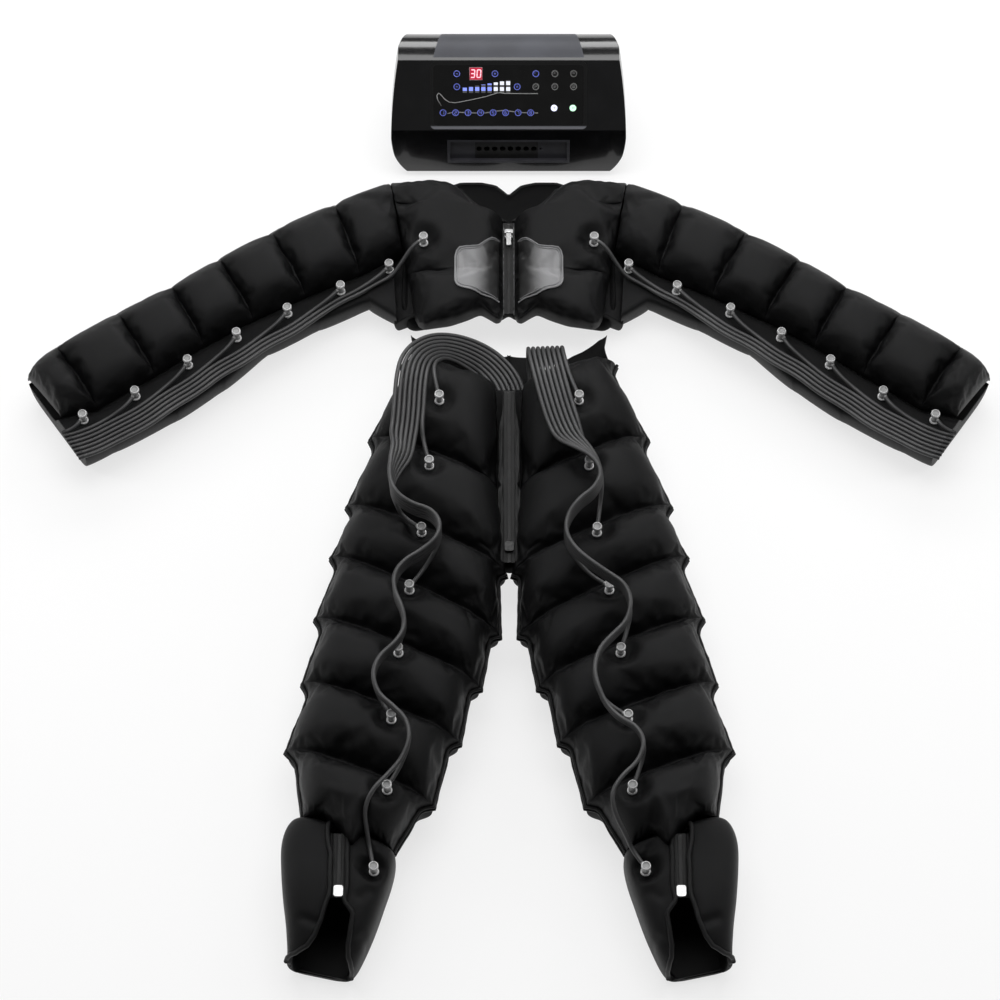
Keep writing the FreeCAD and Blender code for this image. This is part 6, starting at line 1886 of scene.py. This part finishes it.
def make_stage():
    make_camera()
    make_world()
    corners = [(x * FLOOR_HALF, y * FLOOR_HALF, FLOOR_LEVEL) for x, y in CORNERS]
    floor = add_piece("studio_floor", corners, [(0, 1, 2, 3)])
    floor.data.materials.append(floor_finish())
    stage = look("stage")
    add_light("overhead_softbox", (0.0, 0.9, 3.2), (0.0, 0.0, 0.0), (3.6, 2.2), stage.overhead)
    add_light("rear_softbox", (0.0, 3.4, 1.9), (0.0, 0.1, 0.0), (4.6, 1.3), stage.rear)
    add_light("left_strip", (-2.6, 0.4, 1.5), (0.0, 0.4, 0.0), (0.5, 2.2), stage.sides)
    add_light("right_strip", (2.6, 0.4, 1.5), (0.0, 0.4, 0.0), (0.5, 2.2), stage.sides)
    bpy.context.scene.view_settings.view_transform = "Standard"


# Operators and panel

class SuitOperator:
    """What the operators share: each runs its make functions and raises an error where one can't finish."""

    bl_options = {"REGISTER", "UNDO"}
    makers = ()

    def execute(self, context):
        for make in self.makers:
            make()
        return {"FINISHED"}


class SUIT_OT_stage(SuitOperator, bpy.types.Operator):
    """Set up the floor, the lamps and the camera"""
    bl_idname = "suit.stage"
    bl_label = "Stage"
    makers = (make_stage,)


class SUIT_OT_hoses(SuitOperator, bpy.types.Operator):
    """Lay the air hoses, with their plugs and end sleeves"""
    bl_idname = "suit.hoses"
    bl_label = "Air hoses"
    makers = (make_hoses,)


class SUIT_OT_fittings(SuitOperator, bpy.types.Operator):
    """Turn the hose fittings on the chambers"""
    bl_idname = "suit.fittings"
    bl_label = "Hose fittings"
    makers = (make_fittings,)


class SUIT_OT_legs(SuitOperator, bpy.types.Operator):
    """Sew the legs: front chambers, back layer and piping"""
    bl_idname = "suit.legs"
    bl_label = "Legs"
    makers = (make_legs,)


class SUIT_OT_boots(SuitOperator, bpy.types.Operator):
    """Sew the boots: shells, hems and insoles"""
    bl_idname = "suit.boots"
    bl_label = "Boots"
    makers = (make_boots,)


class SUIT_OT_sleeves(SuitOperator, bpy.types.Operator):
    """Sew the sleeves: front chambers and the bed of the hoses"""
    bl_idname = "suit.sleeves"
    bl_label = "Sleeves"
    makers = (make_sleeves,)


class SUIT_OT_body(SuitOperator, bpy.types.Operator):
    """Sew the jacket's body: chest, patches, neck and back"""
    bl_idname = "suit.body"
    bl_label = "Jacket body"
    makers = (make_chest, make_back)


class SUIT_OT_zips(SuitOperator, bpy.types.Operator):
    """Weave the zips and finish their sliders"""
    bl_idname = "suit.zips"
    bl_label = "Zips"
    makers = (make_zips,)


class SUIT_OT_console(SuitOperator, bpy.types.Operator):
    """Finish the console and print its panel"""
    bl_idname = "suit.console"
    bl_label = "Console"
    makers = (make_console, make_panel_prints)


OPERATORS = (SUIT_OT_stage, SUIT_OT_hoses, SUIT_OT_fittings, SUIT_OT_legs, SUIT_OT_boots, SUIT_OT_sleeves,
             SUIT_OT_body, SUIT_OT_zips, SUIT_OT_console)


class SUIT_PT_sidebar(bpy.types.Panel):
    """Sidebar panel with the suit's settings and operators"""
    bl_idname = "SUIT_PT_sidebar"
    bl_label = "Pressotherapy suit"
    bl_space_type = "VIEW_3D"
    bl_region_type = "UI"
    bl_category = "Suit"

    def draw(self, context):
        for name in LOOKS:
            settings = getattr(context.scene, name)
            box = self.layout.box()
            for key in settings.bl_rna.properties.keys():
                if key not in ("rna_type", "name"):
                    box.prop(settings, key)
        for operator in OPERATORS:
            self.layout.operator(operator.bl_idname)


CLASSES = (*LOOKS.values(), *OPERATORS, SUIT_PT_sidebar)


def register():
    for kind in CLASSES:
        bpy.utils.register_class(kind)
    for name, kind in LOOKS.items():
        setattr(bpy.types.Scene, name, PointerProperty(type=kind))


def unregister():
    for name in LOOKS:
        delattr(bpy.types.Scene, name)
    for kind in reversed(CLASSES):
        bpy.utils.unregister_class(kind)


def main():
    register()
    bpy.ops.suit.stage()
    bpy.ops.suit.hoses()
    bpy.ops.suit.fittings()
    bpy.ops.suit.legs()
    bpy.ops.suit.boots()
    bpy.ops.suit.sleeves()
    bpy.ops.suit.body()
    bpy.ops.suit.zips()
    bpy.ops.suit.console()


if __name__ == "__main__":
    main()
